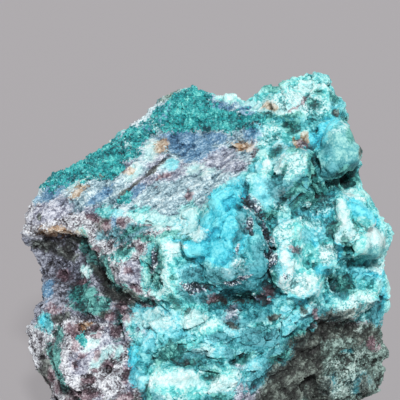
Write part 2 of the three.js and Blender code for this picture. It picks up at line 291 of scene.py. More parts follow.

# Where each mineral shows on the front, with painted shade and light in some of them:
# across and up of a patch's middle, its half width and half height in mm, and its turn in
# degrees if it is turned.
PATCHES = {
    "lilac": [
        (-12.0, 15.8, 3.6, 1.4, 35), (-22.4, -18.2, 3.6, 2.4, 30), (-10.0, 19.6, 2.0, 1.0, 35),
        (-18.4, -26.4, 3.2, 1.6), (-14.4, -10.0, 1.6, 1.2), (-15.8, 19.4, 1.2, 1.2),
        (-5.4, 18.0, 2.8, 1.2, 20), (2.0, 20.0, 5.0, 1.8, 25), (-31.0, 10.0, 4.6, 2.4, 20),
        (-22.0, 9.6, 2.4, 1.2), (-7.4, 16.6, 2.0, 1.0, 20), (4.7, -9.8, 1.9, 1.4), (5.6, 0.9, 1.3, 1.1),
        (6.5, -19.4, 1.2, 1.2), (-12.2, -13.2, 0.9, 1.8, 15), (8.0, -25.0, 3.0, 3.0),
        (16.6, 3.0, 1.2, 1.5), (-25.4, -2.0, 4.2, 1.9, 10), (-14.4, -2.4, 2.6, 2.4),
        (-18.0, -14.6, 2.6, 1.6), (-14.6, -22.0, 1.6, 3.0), (6.0, 18.6, 2.4, 1.6),
    ],
    "turquoise": [
        (14.0, -6.2, 2.0, 1.4, 20), (26.0, 2.0, 1.8, 2.4), (-8.8, -27.0, 3.0, 1.8),
        (10.2, -22.4, 2.4, 1.2, 20), (10.2, -13.8, 3.0, 1.3, 4), (1.8, -26.2, 2.6, 2.4),
        (6.4, 6.4, 1.4, 2.6, -10), (6.6, 13.4, 1.6, 1.4), (22.4, -6.0, 1.8, 1.4), (8.2, 1.6, 1.6, 1.4),
        (9.6, -3.4, 2.4, 1.2), (-10.6, -26.4, 1.6, 2.4), (5.8, -3.0, 1.6, 1.2),
        (-1.6, -1.2, 2.4, 1.7, 20), (-4.4, 0.6, 1.2, 0.8), (9.6, -0.6, 2.8, 2.6),
        (8.6, 5.0, 1.8, 3.6, -10), (4.0, -5.0, 5.0, 1.2), (2.2, -9.4, 1.4, 0.9, 20),
        (17.8, 0.8, 1.3, 0.9), (14.6, -4.8, 0.7, 3.6, 34), (22.8, -1.6, 2.2, 1.4),
        (16.2, 27.4, 3.0, 1.3), (13.6, 19.4, 1.3, 1.6), (20.4, 18.2, 1.0, 3.2, 10),
        (17.4, 14.0, 3.8, 1.8, 45), (12.4, 11.0, 1.2, 1.3), (24.0, 12.4, 3.0, 1.4, 20),
        (22.4, 7.6, 2.4, 1.7), (30.6, 1.0, 1.3, 2.6), (34.6, -9.8, 1.4, 3.2), (30.8, -3.6, 2.0, 1.5),
        (17.4, -13.6, 1.6, 1.0, 30), (9.4, -15.8, 3.6, 1.2, -4), (4.4, -14.6, 3.0, 0.7, -14),
        (10.8, -18.4, 2.2, 1.2, 20), (2.0, -24.4, 2.2, 0.9, 10), (-31.8, -12.0, 1.6, 1.9),
        (-12.0, -18.4, 1.4, 2.2), (28.2, -18.2, 1.2, 0.7), (0.6, -13.6, 1.8, 1.6),
        (25.2, 29.6, 2.4, 2.8), (23.4, 33.2, 1.4, 1.6), (12.4, 34.2, 1.9, 1.1), (10.4, -7.0, 3.0, 2.6),
        (8.6, -9.6, 2.4, 1.4), (7.4, -3.0, 1.8, 0.9), (22.6, 21.4, 0.9, 2.8),
        (28.0, 20.0, 1.8, 1.6, -30), (-5.4, -4.2, 1.6, 1.0), (5.8, 8.6, 1.4, 2.4),
        (13.0, 28.2, 2.0, 0.7), (26.6, 6.6, 1.2, 2.0), (12.0, 0.0, 0.8, 4.0), (-10.4, 2.6, 1.0, 2.4),
    ],
    "mint": [
        (26.4, 6.2, 2.0, 2.4), (30.2, 3.0, 2.4, 3.0), (32.0, -2.6, 3.4, 2.0), (14.0, 1.4, 1.6, 2.8),
        (14.6, -2.4, 1.6, 2.4), (5.4, 33.0, 3.4, 1.3), (9.4, 30.9, 3.2, 1.7, -10),
        (18.0, 32.6, 7.0, 4.4), (15.6, 29.6, 2.8, 1.3), (-2.0, -9.8, 3.0, 1.6), (-6.4, 1.4, 3.0, 1.6),
        (14.4, 18.2, 1.8, 1.6), (17.8, -10.0, 2.0, 1.2, 20), (13.0, 31.0, 3.0, 2.3),
        (23.6, 29.0, 1.4, 1.0), (12.6, 24.8, 3.1, 2.5), (16.6, 24.0, 1.7, 1.7), (11.6, 18.6, 1.7, 2.5),
        (17.2, 18.6, 3.6, 3.3), (10.6, 14.0, 2.8, 2.2, -45), (12.6, 10.2, 1.0, 0.8),
        (-9.2, 8.2, 3.2, 1.7, -10), (-3.2, 9.2, 2.0, 2.3), (-7.8, 4.7, 3.2, 1.0), (-6.2, 2.6, 2.8, 1.3),
        (-11.5, -2.0, 0.8, 2.8), (-7.0, -3.0, 2.0, 2.6), (-4.8, -5.6, 2.8, 1.5),
        (-8.4, -6.0, 2.0, 1.2, -20), (-2.6, -8.4, 2.6, 1.3), (-4.4, -11.4, 2.8, 1.6),
        (-0.4, -11.6, 2.4, 1.7), (15.4, 4.6, 2.9, 3.3), (21.4, 2.2, 3.2, 2.9), (19.0, 6.8, 3.6, 1.4),
        (16.6, -2.2, 3.8, 3.3), (18.0, -5.4, 2.6, 2.2), (23.0, -4.4, 1.8, 1.6),
        (26.2, 9.6, 1.9, 3.2, 5), (29.8, 7.8, 2.4, 2.4, -30), (29.2, 12.8, 3.2, 1.1, -22),
        (33.2, 8.8, 1.2, 2.2, 20), (29.8, -7.8, 5.6, 2.5, 8), (20.6, -9.0, 1.2, 2.4, 10),
        (34.0, -3.4, 1.6, 1.5), (14.6, -9.2, 1.8, 1.3, 10), (16.6, -10.6, 1.7, 1.0, 10),
        (15.6, -12.6, 1.8, 2.0), (5.4, -12.8, 3.0, 1.6, -18), (10.0, -12.4, 2.6, 1.3),
        (2.4, -17.0, 4.2, 1.3, 2), (-3.6, -15.0, 2.4, 0.8, 10), (-5.4, -23.8, 5.0, 4.6),
        (3.4, -20.8, 2.8, 0.9, 18), (30.0, 5.0, 1.8, 1.8), (34.2, -1.8, 2.0, 1.8),
        (-1.4, -22.2, 2.6, 1.4), (-13.6, -11.0, 1.4, 1.4), (6.4, -21.8, 2.0, 1.0, 20),
        (26.6, 7.0, 1.6, 1.6), (-10.0, -21.2, 1.8, 1.4), (-19.4, 9.6, 1.9, 1.2), (-12.4, 9.4, 2.2, 1.5),
        (4.8, -27.6, 2.2, 1.6), (-15.6, 1.6, 2.6, 1.0, 20),
    ],
    "pale_crust": [
        (14.4, 21.8, 2.0, 1.6), (14.2, 18.2, 1.4, 1.8), (9.8, 25.4, 1.6, 1.6), (-13.4, -21.8, 1.2, 2.0),
        (26.6, 5.6, 2.0, 2.2), (15.0, -0.6, 1.8, 3.4), (32.6, -2.6, 3.0, 1.6, -10),
        (10.8, 14.4, 2.4, 1.8, -45), (22.0, 6.2, 2.2, 1.6), (9.6, 26.2, 1.6, 1.2),
        (6.0, -22.2, 1.6, 1.0, 20), (18.6, -10.2, 2.2, 1.0, 20), (-13.0, -10.2, 2.2, 1.8),
        (-8.0, -10.4, 3.0, 1.6), (-8.6, -11.4, 3.4, 2.3), (-6.0, -13.4, 2.8, 1.3),
        (-11.0, -10.4, 1.8, 1.5), (0.6, -14.8, 1.8, 1.2), (8.2, -13.6, 3.6, 0.9, 4),
        (13.0, -13.8, 2.2, 1.0, 10), (9.8, -19.4, 3.0, 1.6, 20), (12.6, -17.2, 1.9, 0.8, 10),
        (9.8, -21.2, 2.2, 0.7, 30), (-12.0, -22.6, 1.3, 1.7), (-17.6, 9.0, 1.5, 0.9),
        (-7.2, 19.0, 1.5, 0.9), (14.6, 7.8, 1.3, 0.7), (19.6, 8.8, 2.6, 0.8),
        (19.6, -6.0, 1.9, 0.8, 20), (25.4, 30.6, 1.1, 0.9), (5.4, -11.8, 1.8, 0.5),
        (13.4, 19.2, 0.9, 0.9), (9.8, 18.6, 0.9, 1.1), (6.0, 15.2, 2.2, 0.9),
        (14.7, -9.2, 1.6, 1.0, 12), (16.9, -10.6, 1.4, 0.7, 8), (5.2, -12.8, 2.4, 1.2, -18),
        (15.6, -12.6, 1.6, 1.7), (3.0, -17.0, 3.4, 1.0, 2), (-11.4, -14.6, 1.8, 2.0),
        (34.2, -9.4, 0.9, 2.6), (20.0, 5.0, 1.8, 1.4), (-3.4, -2.0, 2.0, 1.2, 20),
        (-3.4, 6.2, 2.6, 2.0), (5.6, 2.2, 1.4, 1.4), (18.0, -9.8, 1.8, 1.0, 20), (17.6, 30.4, 2.2, 1.4),
        (26.4, 6.2, 1.6, 2.0), (10.6, 13.4, 2.4, 2.0, -45), (9.6, 30.4, 2.6, 1.2, -8),
        (14.4, -1.4, 1.5, 2.6), (14.4, 2.6, 1.4, 2.2), (30.4, -2.2, 2.4, 1.2, -20),
    ],
    "chrysocolla": [
        (4.6, 11.0, 3.2, 3.6, -20), (2.2, 12.8, 2.6, 1.4, 10), (2.0, 6.4, 3.6, 3.2, -15),
        (-0.2, 2.8, 4.4, 2.6, 10), (2.4, 1.4, 2.6, 2.2), (5.6, 4.6, 2.4, 2.8),
        (-3.2, 4.6, 2.6, 1.2, 20), (8.8, -1.8, 2.2, 1.4), (17.6, -7.2, 2.2, 0.8, -30),
        (18.9, -7.6, 1.0, 0.9), (20.4, 23.4, 1.1, 1.9), (22.9, 25.4, 1.4, 2.5, -20),
        (24.0, 27.2, 1.3, 0.7, 30), (29.8, 10.0, 3.8, 1.2, -36), (32.8, 8.0, 1.2, 1.4),
        (22.4, -1.6, 1.8, 0.9), (25.2, 3.0, 0.8, 2.4), (20.4, 3.6, 0.8, 0.9), (-13.8, -18.4, 0.9, 2.5),
        (33.0, -2.4, 2.4, 0.9), (35.2, -7.0, 0.8, 2.4), (-32.0, -12.0, 0.7, 0.8), (-1.8, 2.2, 3.0, 1.9),
        (22.2, 9.8, 2.0, 1.0, 10),
    ],
    # Chalky white crust, and painted light: some patches brighten recesses and places under ledges and
    # overhangs that lie in shade.
    "chalk_and_painted_light": [
        (4.4, -22.4, 2.0, 0.9, 20), (-5.6, -22.4, 4.0, 0.9), (-2.6, 5.8, 2.0, 1.1),
        (34.2, 2.4, 1.4, 2.4), (-21.6, -15.2, 1.8, 0.9, 30), (-5.2, -21.0, 4.4, 1.0, 4),
        (14.2, 30.2, 1.8, 1.2), (13.6, 18.2, 1.0, 1.4), (14.0, 22.0, 1.2, 0.9), (26.6, 5.8, 2.2, 2.4),
        (-2.0, -10.6, 3.0, 1.7, 10), (-9.6, -11.2, 2.8, 1.6), (-13.6, -10.8, 1.6, 0.9),
        (14.6, 0.4, 1.0, 2.0), (-2.4, 18.4, 2.2, 0.9, 25), (-0.4, 17.0, 1.8, 0.7, 25),
        (17.4, 30.0, 2.8, 1.2), (-2.0, -10.4, 2.4, 1.1, 10), (2.8, -22.4, 3.2, 1.1, 16),
        (-3.2, 6.6, 1.8, 1.2), (-6.6, 1.6, 1.4, 0.8), (-2.0, -22.4, 1.8, 0.7),
        (2.2, -22.0, 1.6, 0.8, 18), (-9.0, 8.2, 2.9, 1.5, -8), (-3.4, 9.2, 1.7, 1.9),
        (-6.5, 3.3, 2.3, 0.6), (3.0, -22.5, 3.4, 1.3, 16), (18.0, -3.6, 2.8, 1.8),
        (16.0, -0.6, 1.2, 0.8), (26.2, 9.8, 1.3, 2.4), (32.8, 4.4, 2.4, 3.0), (33.4, -1.2, 2.0, 1.0),
        (-6.0, -21.6, 3.0, 1.2), (27.6, 6.6, 1.2, 1.0), (2.4, -21.6, 2.2, 0.8, 18),
        (5.4, 33.2, 2.6, 0.8), (9.0, 30.6, 2.3, 1.0, -8), (20.0, 34.6, 3.6, 1.3),
        (17.8, 32.4, 2.6, 1.0), (12.6, 30.6, 1.9, 1.7), (28.4, 13.0, 2.8, 0.6, -20),
        (-2.8, -11.2, 1.9, 0.9, 10), (-0.8, -16.8, 1.8, 0.7), (-10.8, 22.0, 1.4, 2.6, -40),
        (-14.4, 17.6, 1.9, 1.1, 48), (-14.2, 25.4, 1.2, 0.9), (-10.2, 27.0, 0.7, 1.3),
        (23.0, 1.8, 1.4, 1.4), (29.6, -6.8, 2.6, 0.9, 10), (11.6, 18.4, 0.9, 1.6),
        (25.6, 25.0, 1.3, 1.7), (-27.4, 14.8, 2.0, 0.6, 35), (-19.6, -18.0, 2.8, 1.0, 50),
        (-9.6, -22.4, 1.5, 0.9), (-4.0, -22.0, 1.7, 0.8), (4.0, -1.7, 1.2, 0.8), (14.2, -2.6, 0.7, 0.7),
        (-23.9, -2.0, 1.4, 0.9), (-16.6, -17.0, 0.6, 1.8), (-16.0, 22.8, 1.6, 0.8, 20),
    ],
    "waxy": [
        (26.6, 21.0, 3.6, 5.0, 14), (24.3, 18.0, 2.1, 2.4), (33.0, 2.0, 2.4, 1.8),
    ],
    "sugared": [
        (16.8, 18.6, 2.7, 2.5), (12.4, 24.8, 2.7, 2.1), (6.6, -0.8, 1.4, 2.4, 10),
        (29.0, -9.0, 5.0, 2.2, 8), (22.8, 1.4, 2.0, 2.0), (14.6, 4.6, 1.8, 2.6), (17.0, -3.4, 2.4, 1.8),
        (-8.6, -2.0, 1.5, 4.4), (21.0, 30.4, 2.4, 2.4), (15.0, 32.0, 2.4, 1.4),
        (9.6, 9.6, 1.0, 3.2, 35), (24.4, -4.0, 1.7, 2.0), (20.8, -9.0, 1.0, 2.2), (6.0, -6.6, 1.7, 0.8),
        (14.6, 12.8, 2.0, 2.6, -40), (21.6, 11.2, 2.6, 1.7), (20.0, 7.8, 2.6, 1.2),
        (7.2, 7.4, 1.1, 1.8), (-6.6, -26.0, 3.6, 1.4), (0.0, -5.8, 2.0, 0.9),
    ],
    "dioptase": [
        (-28.0, 17.6, 5.6, 2.6, 32), (-21.0, 19.6, 5.8, 2.6, 30), (-20.6, 23.4, 7.4, 3.2, 32),
        (-13.6, 27.0, 5.0, 3.4, 38), (-9.0, 29.6, 3.4, 3.4, 40), (-4.2, 32.6, 5.4, 4.8),
        (-5.2, 27.6, 4.8, 1.9), (1.2, 28.6, 4.2, 2.6), (5.2, 28.0, 4.6, 1.9), (9.8, 28.2, 2.2, 0.8, -8),
        (-16.0, 12.2, 1.5, 0.8, 40), (-23.9, -14.5, 0.9, 0.9), (-15.0, 21.6, 1.8, 1.0, 35),
        (-18.8, 18.2, 2.4, 1.5, 30),
    ],
    "shattuckite": [
        (-5.2, 23.8, 3.8, 2.3, -4), (-1.2, 22.2, 4.4, 1.7, 10), (-9.8, 30.8, 2.2, 2.6, 45),
        (-12.2, 26.6, 1.4, 1.1, 30), (-31.4, 13.8, 3.8, 1.4, 28), (-28.4, 15.6, 1.7, 0.9, 30),
        (-31.8, -6.0, 1.2, 1.6), (8.6, 25.4, 1.5, 1.7), (3.4, 31.1, 3.4, 0.6, -3),
        (8.0, 29.6, 2.0, 0.5, -10), (-20.6, 13.2, 2.8, 0.9, 35), (-13.6, 14.0, 2.2, 0.7, 35),
        (-18.6, 7.6, 1.3, 0.9), (2.0, 24.6, 3.2, 0.9), (1.0, 32.6, 0.9, 1.0),
    ],
    # Deep teal stain in veins, and painted shade: many of these patches darken ledges, undersides, the lower
    # blue boss and the band beside the shaded face.
    "teal_stain_and_painted_shade": [
        (16.6, -15.4, 3.6, 1.6, 45), (13.2, -19.2, 3.4, 1.6, 45), (10.4, -22.4, 3.4, 1.6, 30),
        (9.6, -3.0, 3.0, 1.6), (22.4, -9.6, 2.4, 1.2, 10), (-3.0, -18.2, 3.6, 1.6),
        (10.4, 2.4, 1.4, 2.6, -15), (-2.0, -18.6, 2.8, 1.2), (14.0, -18.4, 2.4, 1.6, 20),
        (10.2, -13.6, 3.6, 1.8, 4), (18.0, -14.4, 3.2, 1.8, 30), (21.6, -10.0, 2.2, 1.2, 10),
        (6.4, -1.8, 2.6, 1.8), (2.0, -2.6, 2.2, 1.2), (2.2, -26.2, 2.6, 1.8), (34.4, -10.0, 1.4, 3.0),
        (2.6, -14.2, 2.4, 1.0, -14), (6.0, -17.6, 2.0, 1.4), (23.4, 17.4, 1.7, 1.5),
        (28.8, 17.8, 1.5, 1.6, -20), (23.2, 21.6, 0.9, 2.0), (9.8, -1.6, 2.8, 2.4),
        (6.0, -2.6, 2.4, 1.4), (-10.4, -26.0, 1.8, 2.6, 20), (-14.8, 6.2, 3.0, 0.8, 25),
        (16.2, -16.4, 3.4, 2.0, 40), (10.0, -14.6, 3.0, 1.0, 6), (-10.2, -26.8, 2.4, 1.5, 20),
        (10.6, -22.6, 3.0, 1.6, 25), (10.4, -3.6, 2.6, 1.4), (14.2, 13.6, 3.0, 2.2, -45),
        (18.0, 13.4, 3.6, 2.6, 40), (21.6, 12.6, 2.4, 1.2, 20), (18.0, -14.2, 3.0, 1.7, 20),
        (14.4, -18.2, 2.6, 2.0, 20), (9.6, -15.0, 3.6, 1.0), (10.4, -2.2, 3.0, 2.8),
        (6.2, -3.4, 3.2, 1.9), (-2.0, -2.6, 2.4, 1.2, 10), (22.4, -10.4, 2.6, 1.4, 20),
        (13.6, -17.8, 2.4, 1.8, 20), (18.4, -13.8, 3.2, 1.8, 20), (6.4, 6.2, 1.0, 2.4, -10),
        (10.6, 3.0, 1.2, 2.8, -15), (-2.0, -5.6, 3.0, 1.5), (-2.4, -18.2, 3.2, 1.1),
        (9.6, 9.0, 1.8, 2.8, 35), (6.8, 10.0, 1.2, 2.2), (18.6, -13.4, 2.4, 1.2, 20),
        (26.2, -5.4, 2.2, 1.9), (9.8, -6.0, 3.0, 2.0), (2.4, -6.4, 3.0, 1.5), (18.4, 22.4, 1.6, 1.4),
        (-14.4, 5.4, 3.6, 1.3, 20), (-19.0, 5.6, 3.0, 1.1, 20), (26.4, 17.0, 3.2, 1.8, 10),
        (9.8, -10.2, 2.2, 1.2), (30.4, -24.4, 2.6, 2.6), (24.6, -24.6, 2.0, 2.4),
        (-25.4, -6.8, 1.6, 1.2), (5.4, -10.6, 2.4, 0.9),
    ],
    # Green malachite, and painted shade: some patches darken undersides of ledges, the band beside the shaded
    # face and the shadow beside the large nodule.
    "malachite_and_painted_shade": [
        (18.0, -14.6, 2.4, 1.2, 35), (-28.0, -21.6, 0.8, 1.8, 20), (18.4, -14.8, 2.6, 1.0, 30),
        (14.6, -18.0, 1.6, 0.8, 20), (-2.6, -18.8, 2.2, 0.6), (-6.8, 5.6, 2.0, 0.5, 10),
        (-4.0, 4.9, 1.4, 0.4, 10), (-14.4, 6.0, 2.6, 0.5, 25), (-12.0, 4.8, 2.0, 0.5, 25),
        (12.6, -2.8, 0.5, 1.6, 20), (-10.6, -24.6, 0.5, 2.4, 15), (-7.4, -27.0, 2.2, 0.5, 20),
        (-19.4, -1.4, 0.9, 3.0, 30), (-16.6, -5.2, 0.7, 2.6, 50), (-22.8, 1.4, 1.1, 4.2, 28),
        (-24.2, 4.2, 0.9, 1.6), (-18.6, -4.2, 0.7, 3.2, 55), (-12.6, -6.8, 0.6, 3.0, 65),
        (-23.6, -6.4, 2.8, 2.0), (-21.2, -8.4, 2.2, 1.8), (-24.6, -9.0, 2.2, 1.3),
        (-16.8, -11.6, 1.0, 2.8), (-29.0, -14.6, 1.2, 2.2), (-29.8, -19.0, 1.0, 3.4, 6),
        (-28.2, -22.6, 1.0, 2.6, 30), (-25.6, -26.4, 1.0, 2.8, 40), (-9.4, 0.0, 1.3, 3.8),
        (-15.8, 2.2, 1.5, 1.0, 40), (-6.5, -7.3, 2.3, 0.8, -15), (-3.4, -9.6, 1.0, 0.6),
        (-6.0, -2.8, 1.3, 0.5, -10), (-7.2, -17.0, 2.8, 1.7, 25), (0.8, -21.0, 1.5, 1.0, 20),
        (2.8, -25.6, 2.0, 1.2), (6.8, -17.8, 1.0, 1.7, -35), (13.4, -18.8, 1.5, 1.2, 30),
        (13.0, 34.4, 1.5, 0.9), (14.8, 35.4, 1.0, 0.4), (22.3, 33.2, 0.9, 0.8),
        (25.2, 32.0, 1.6, 0.9, -50), (21.4, 30.8, 0.8, 1.0, 40), (27.6, 26.0, 0.6, 2.8, 10),
        (16.4, 28.2, 2.4, 0.6), (16.9, 26.4, 1.3, 1.0), (12.0, 28.6, 1.5, 0.5),
        (13.4, 21.0, 1.3, 0.8, 30), (16.6, 21.7, 1.0, 0.6), (14.6, 18.0, 0.6, 1.4, -20),
        (16.0, 13.0, 0.6, 2.8, -50), (17.8, 11.8, 0.8, 2.6, -50), (20.7, 16.6, 1.1, 4.4, 6),
        (22.0, 13.6, 1.7, 1.7), (27.2, 16.2, 3.6, 1.9, 15), (19.6, 12.2, 1.7, 1.3),
        (24.4, 6.4, 1.1, 1.5, -20), (28.4, 7.2, 0.6, 0.9), (27.1, 3.4, 1.0, 1.7),
        (27.0, -4.6, 2.1, 1.6), (24.2, -3.2, 0.6, 1.5), (15.0, -2.2, 0.6, 0.5),
        (9.0, -6.2, 3.0, 1.0, 10), (12.2, 9.4, 1.0, 0.8),
    ],
    # Brown to grey iron stain, and painted shade: patches darken the undercut at the left and lines under the
    # ribs of the shelf.
    "iron_stain_and_painted_shade": [
        (-18.2, -26.4, 2.4, 1.1, 20), (-32.0, -22.6, 1.6, 3.4, 5), (-28.6, -11.2, 1.8, 0.8),
        (-14.6, -6.6, 2.6, 0.6, -30), (-32.0, -21.0, 1.1, 3.4), (-18.6, -26.8, 2.2, 0.7, 20),
        (20.0, -14.8, 2.4, 1.2, 20), (10.8, -26.8, 2.4, 2.2), (18.4, -22.0, 4.0, 3.6, 40),
        (23.4, -10.8, 2.0, 1.2, 10), (26.2, -10.6, 2.6, 1.2, 10), (14.6, -25.6, 3.0, 3.0),
        (20.0, -21.6, 3.0, 2.4, 40), (-32.4, 3.4, 2.8, 1.3, -10), (-28.2, 1.6, 2.8, 1.4, -20),
        (-26.0, 4.2, 2.4, 1.0), (-20.2, -3.0, 0.8, 3.8, 36), (-16.8, -6.9, 3.2, 1.0, -28),
        (-14.4, -8.2, 1.5, 0.9), (2.6, -7.4, 1.3, 0.8), (7.0, -7.7, 1.2, 0.5), (12.4, -10.2, 1.0, 0.8),
        (4.6, -11.3, 1.3, 0.6, -20), (22.4, -14.0, 5.0, 1.6, 20), (19.4, -17.4, 3.0, 3.2, 35),
        (28.6, -13.2, 4.2, 1.4), (32.6, -15.6, 2.4, 1.6), (15.8, -23.6, 4.0, 4.6, 40),
        (22.6, -26.4, 2.2, 3.4), (13.0, -28.0, 4.0, 2.4), (31.9, -25.6, 1.1, 2.6),
        (24.0, -10.6, 0.9, 1.9, 10), (29.9, 21.5, 0.6, 0.9), (25.8, 28.8, 0.7, 0.6),
        (6.0, 23.0, 0.4, 1.1, 40), (18.2, -8.8, 0.7, 0.9), (-20.4, 7.2, 1.3, 1.4),
        (-33.2, 8.8, 0.5, 0.7), (-21.0, 16.9, 0.9, 0.6), (-10.6, 18.2, 0.4, 2.8, -50),
        (-15.4, 14.0, 0.4, 2.8, -52), (-19.6, -10.0, 1.6, 0.8), (-13.4, -25.8, 1.4, 0.9),
    ],
    "weathered": [
        (25.6, -20.6, 3.0, 1.3, 35), (28.6, -22.6, 3.6, 1.5, 30), (27.0, -26.0, 3.0, 1.2, 25),
        (30.8, -19.8, 2.4, 1.2, 40), (27.2, -11.4, 2.6, 0.8, 15), (31.4, -13.0, 1.8, 0.8, 10),
    ],
    "tenorite": [
        (9.0, 11.2, 1.0, 2.8, 40), (11.5, 5.6, 0.8, 3.2, 14), (12.1, 0.8, 0.6, 2.4),
        (14.9, -2.2, 0.7, 0.6), (7.2, -2.2, 1.1, 0.6, 20), (4.8, -3.8, 1.4, 0.6), (7.8, 7.0, 0.5, 1.6),
        (-1.8, -4.5, 2.4, 0.7), (10.4, -6.4, 1.6, 0.6), (6.4, 3.0, 0.4, 1.0), (-9.8, 1.0, 0.5, 2.4),
    ],
    "limonite": [
        (-25.6, 13.9, 2.7, 0.9, 33), (6.8, 22.9, 1.7, 0.8, -18), (17.7, 23.4, 0.4, 1.5),
        (19.2, 24.2, 0.4, 1.0), (12.6, 30.6, 1.0, 0.9), (-15.9, 17.4, 0.9, 0.7),
        (-9.0, 22.6, 0.9, 1.6, -30), (-23.6, -12.6, 1.5, 0.8), (-29.5, 5.7, 4.0, 0.7, -6),
    ],
    "hematite": [
        (-23.4, -17.4, 0.9, 0.6, 20), (-20.2, -17.2, 0.6, 0.9), (-30.6, -22.4, 0.8, 1.6),
        (-29.8, -9.4, 1.7, 1.0), (-25.8, -25.2, 1.6, 1.1, 20), (-29.0, -24.6, 1.0, 1.4),
        (-13.6, -5.2, 1.0, 0.8), (-22.4, -22.2, 1.5, 0.8, 20), (-15.6, -21.8, 0.8, 1.4),
        (-21.2, -13.6, 1.3, 0.7), (-25.4, -15.6, 0.7, 1.1), (-18.8, -19.2, 0.9, 0.7, 30),
        (-24.4, -19.2, 0.7, 0.9), (-17.2, -13.2, 1.1, 0.6, -20), (-12.6, 2.6, 0.8, 0.8),
        (-22.6, 8.2, 1.2, 0.6), (-21.6, 1.8, 0.7, 1.0, 30), (-11.4, 7.4, 0.8, 0.5),
        (-9.6, 14.6, 0.9, 0.4, 35), (18.4, 23.0, 0.5, 1.1), (-20.0, 6.8, 1.0, 1.2),
        (-16.4, 7.4, 0.7, 0.9), (-3.8, 12.8, 0.6, 1.0), (-14.9, -1.8, 1.0, 0.9, -30),
        (-28.6, -3.4, 1.5, 1.0), (16.7, 2.6, 0.8, 1.1), (11.6, -5.4, 1.1, 1.1), (2.2, -6.8, 1.0, 0.9),
        (20.9, -9.8, 0.6, 0.7), (-15.4, -25.4, 1.3, 0.7), (-12.6, -26.6, 1.6, 0.9),
        (-22.4, -25.2, 2.6, 0.9), (-20.9, -20.4, 0.8, 0.5), (-25.6, -13.2, 1.7, 0.8, 20),
        (-18.4, -10.8, 1.1, 0.9), (-15.6, -9.6, 2.0, 1.1, -25), (33.4, -17.0, 1.3, 0.9),
        (19.6, 31.2, 1.3, 0.6, 35), (17.1, 29.7, 1.0, 0.5, 20), (-8.4, 16.8, 1.6, 0.6, 20),
        (-27.3, 12.5, 0.8, 0.5), (-16.4, 17.6, 0.5, 0.4), (-24.6, -4.0, 1.2, 0.7),
    ],
}

# Behind and underneath, each mineral lies in drifts: their spacing in mm, and how much
# of a fractal pattern between about -1 and 1 has to be exceeded for it to show.
DRIFTS = {
    "washed": (14.0, 0.05),
    "dusky": (13.0, 0.30),
    "crust": (16.0, 0.08),
    "shaded": (12.0, 0.34),
    "lilac": (7.0, 0.34),
    "turquoise": (6.0, 0.26),
    "pale_crust": (6.0, 0.32),
    "mint": (7.0, 0.26),
    "chrysocolla": (9.0, 0.24),
    "chalk_and_painted_light": (5.0, 0.40),
    "waxy": (5.0, 0.60),
    "sugared": (4.0, 0.32),
    "dioptase": (9.0, 0.38),
    "shattuckite": (10.0, 0.38),
    "teal_stain_and_painted_shade": (5.0, 0.34),
    "malachite_and_painted_shade": (6.0, 0.30),
    "iron_stain_and_painted_shade": (9.0, 0.38),
    "weathered": (6.0, 0.46),
    "tenorite": (5.0, 0.52),
    "limonite": (5.0, 0.48),
    "hematite": (4.0, 0.44),
}

# Waxy, smooth places, and crust that has cracked into plates, as patches.
SMOOTH = [
    (25.8, 21.6, 4.2, 6.0, 8), (32.6, 3.4, 2.8, 3.8, 0), (10.5, 13.2, 2.4, 3.0, -20),
    (-9.2, 8.2, 2.8, 1.4, -8), (-3.2, 9.2, 1.6, 1.8, 0), (26.3, 9.5, 1.6, 2.8, 8),
    (29.8, 10.0, 3.8, 1.2, -36), (20.4, 23.2, 1.0, 1.8, 0), (0.4, 2.6, 3.4, 1.8, 10),
    (8.8, 30.8, 2.4, 1.0, -8), (-6.5, 3.3, 2.0, 0.6, 0), (-6.5, -7.2, 2.2, 0.7, -15),
    (-13.8, -18.2, 0.8, 2.2, 0), (-12.1, -22.6, 1.2, 1.6, 0), (9.6, -1.0, 2.0, 1.8, 0),
]
EASED = [
    (18.9, 0.3, 5.6, 6.6, 0), (17.0, 18.4, 3.9, 3.5, 0), (-5.6, -25.4, 5.6, 5.4, 0),
    (2.4, 6.0, 5.0, 6.0, -15), (29.4, 9.6, 4.0, 2.6, -36),
]
PLATED = [
    (9.0, -13.2, 8.4, 2.4, 2), (-8.4, -11.6, 4.0, 2.4, 0), (16.0, -11.0, 3.0, 2.6, 0),
]


def merged_copy(name):
    """The solid's own surface, with its loose triangles joined at their corners."""
    shape = bmesh.new()
    shape.from_mesh(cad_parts[name].data)
    bmesh.ops.remove_doubles(shape, verts=shape.verts, dist=1e-6)
    mesh = bpy.data.meshes.new(name + "_body")
    shape.to_mesh(mesh)
    shape.free()
    return mesh


def finished(mesh, *modifiers):
    """The mesh after these modifiers, each a type with its settings."""
    holder = bpy.data.objects.new("holder", mesh)
    scene.collection.objects.link(holder)
    for kind, settings in modifiers:
        modifier = holder.modifiers.new(kind, kind)
        for name, value in settings.items():
            setattr(modifier, name, value)
    depsgraph = bpy.context.evaluated_depsgraph_get()
    result = bpy.data.meshes.new_from_object(holder.evaluated_get(depsgraph))
    bpy.data.objects.remove(holder)
    return result


def corners(mesh, what="co"):
    """The mesh's corner places or normals, as rows of three numbers."""
    values = np.empty(len(mesh.vertices) * 3, np.float32)
    source = mesh.vertices if what == "co" else mesh.vertex_normals
    source.foreach_get("co" if what == "co" else "vector", values)
    return values.reshape(-1, 3).astype(float)


def face_places(places):
    """Across, up and out of the front face in mm, for rows of places in the frame."""
    offset = (places - np.array(FACE_MIDDLE)) / MM
    return offset @ np.array([RIGHT, UP, OUT]).T


def sample(pattern, places):
    return np.array([pattern(Vector(p)) for p in places.tolist()])


def smooth_step(low, high, values):
    t = np.clip((values - low) / (high - low), 0, 1)
    return t * t * (3 - 2 * t)


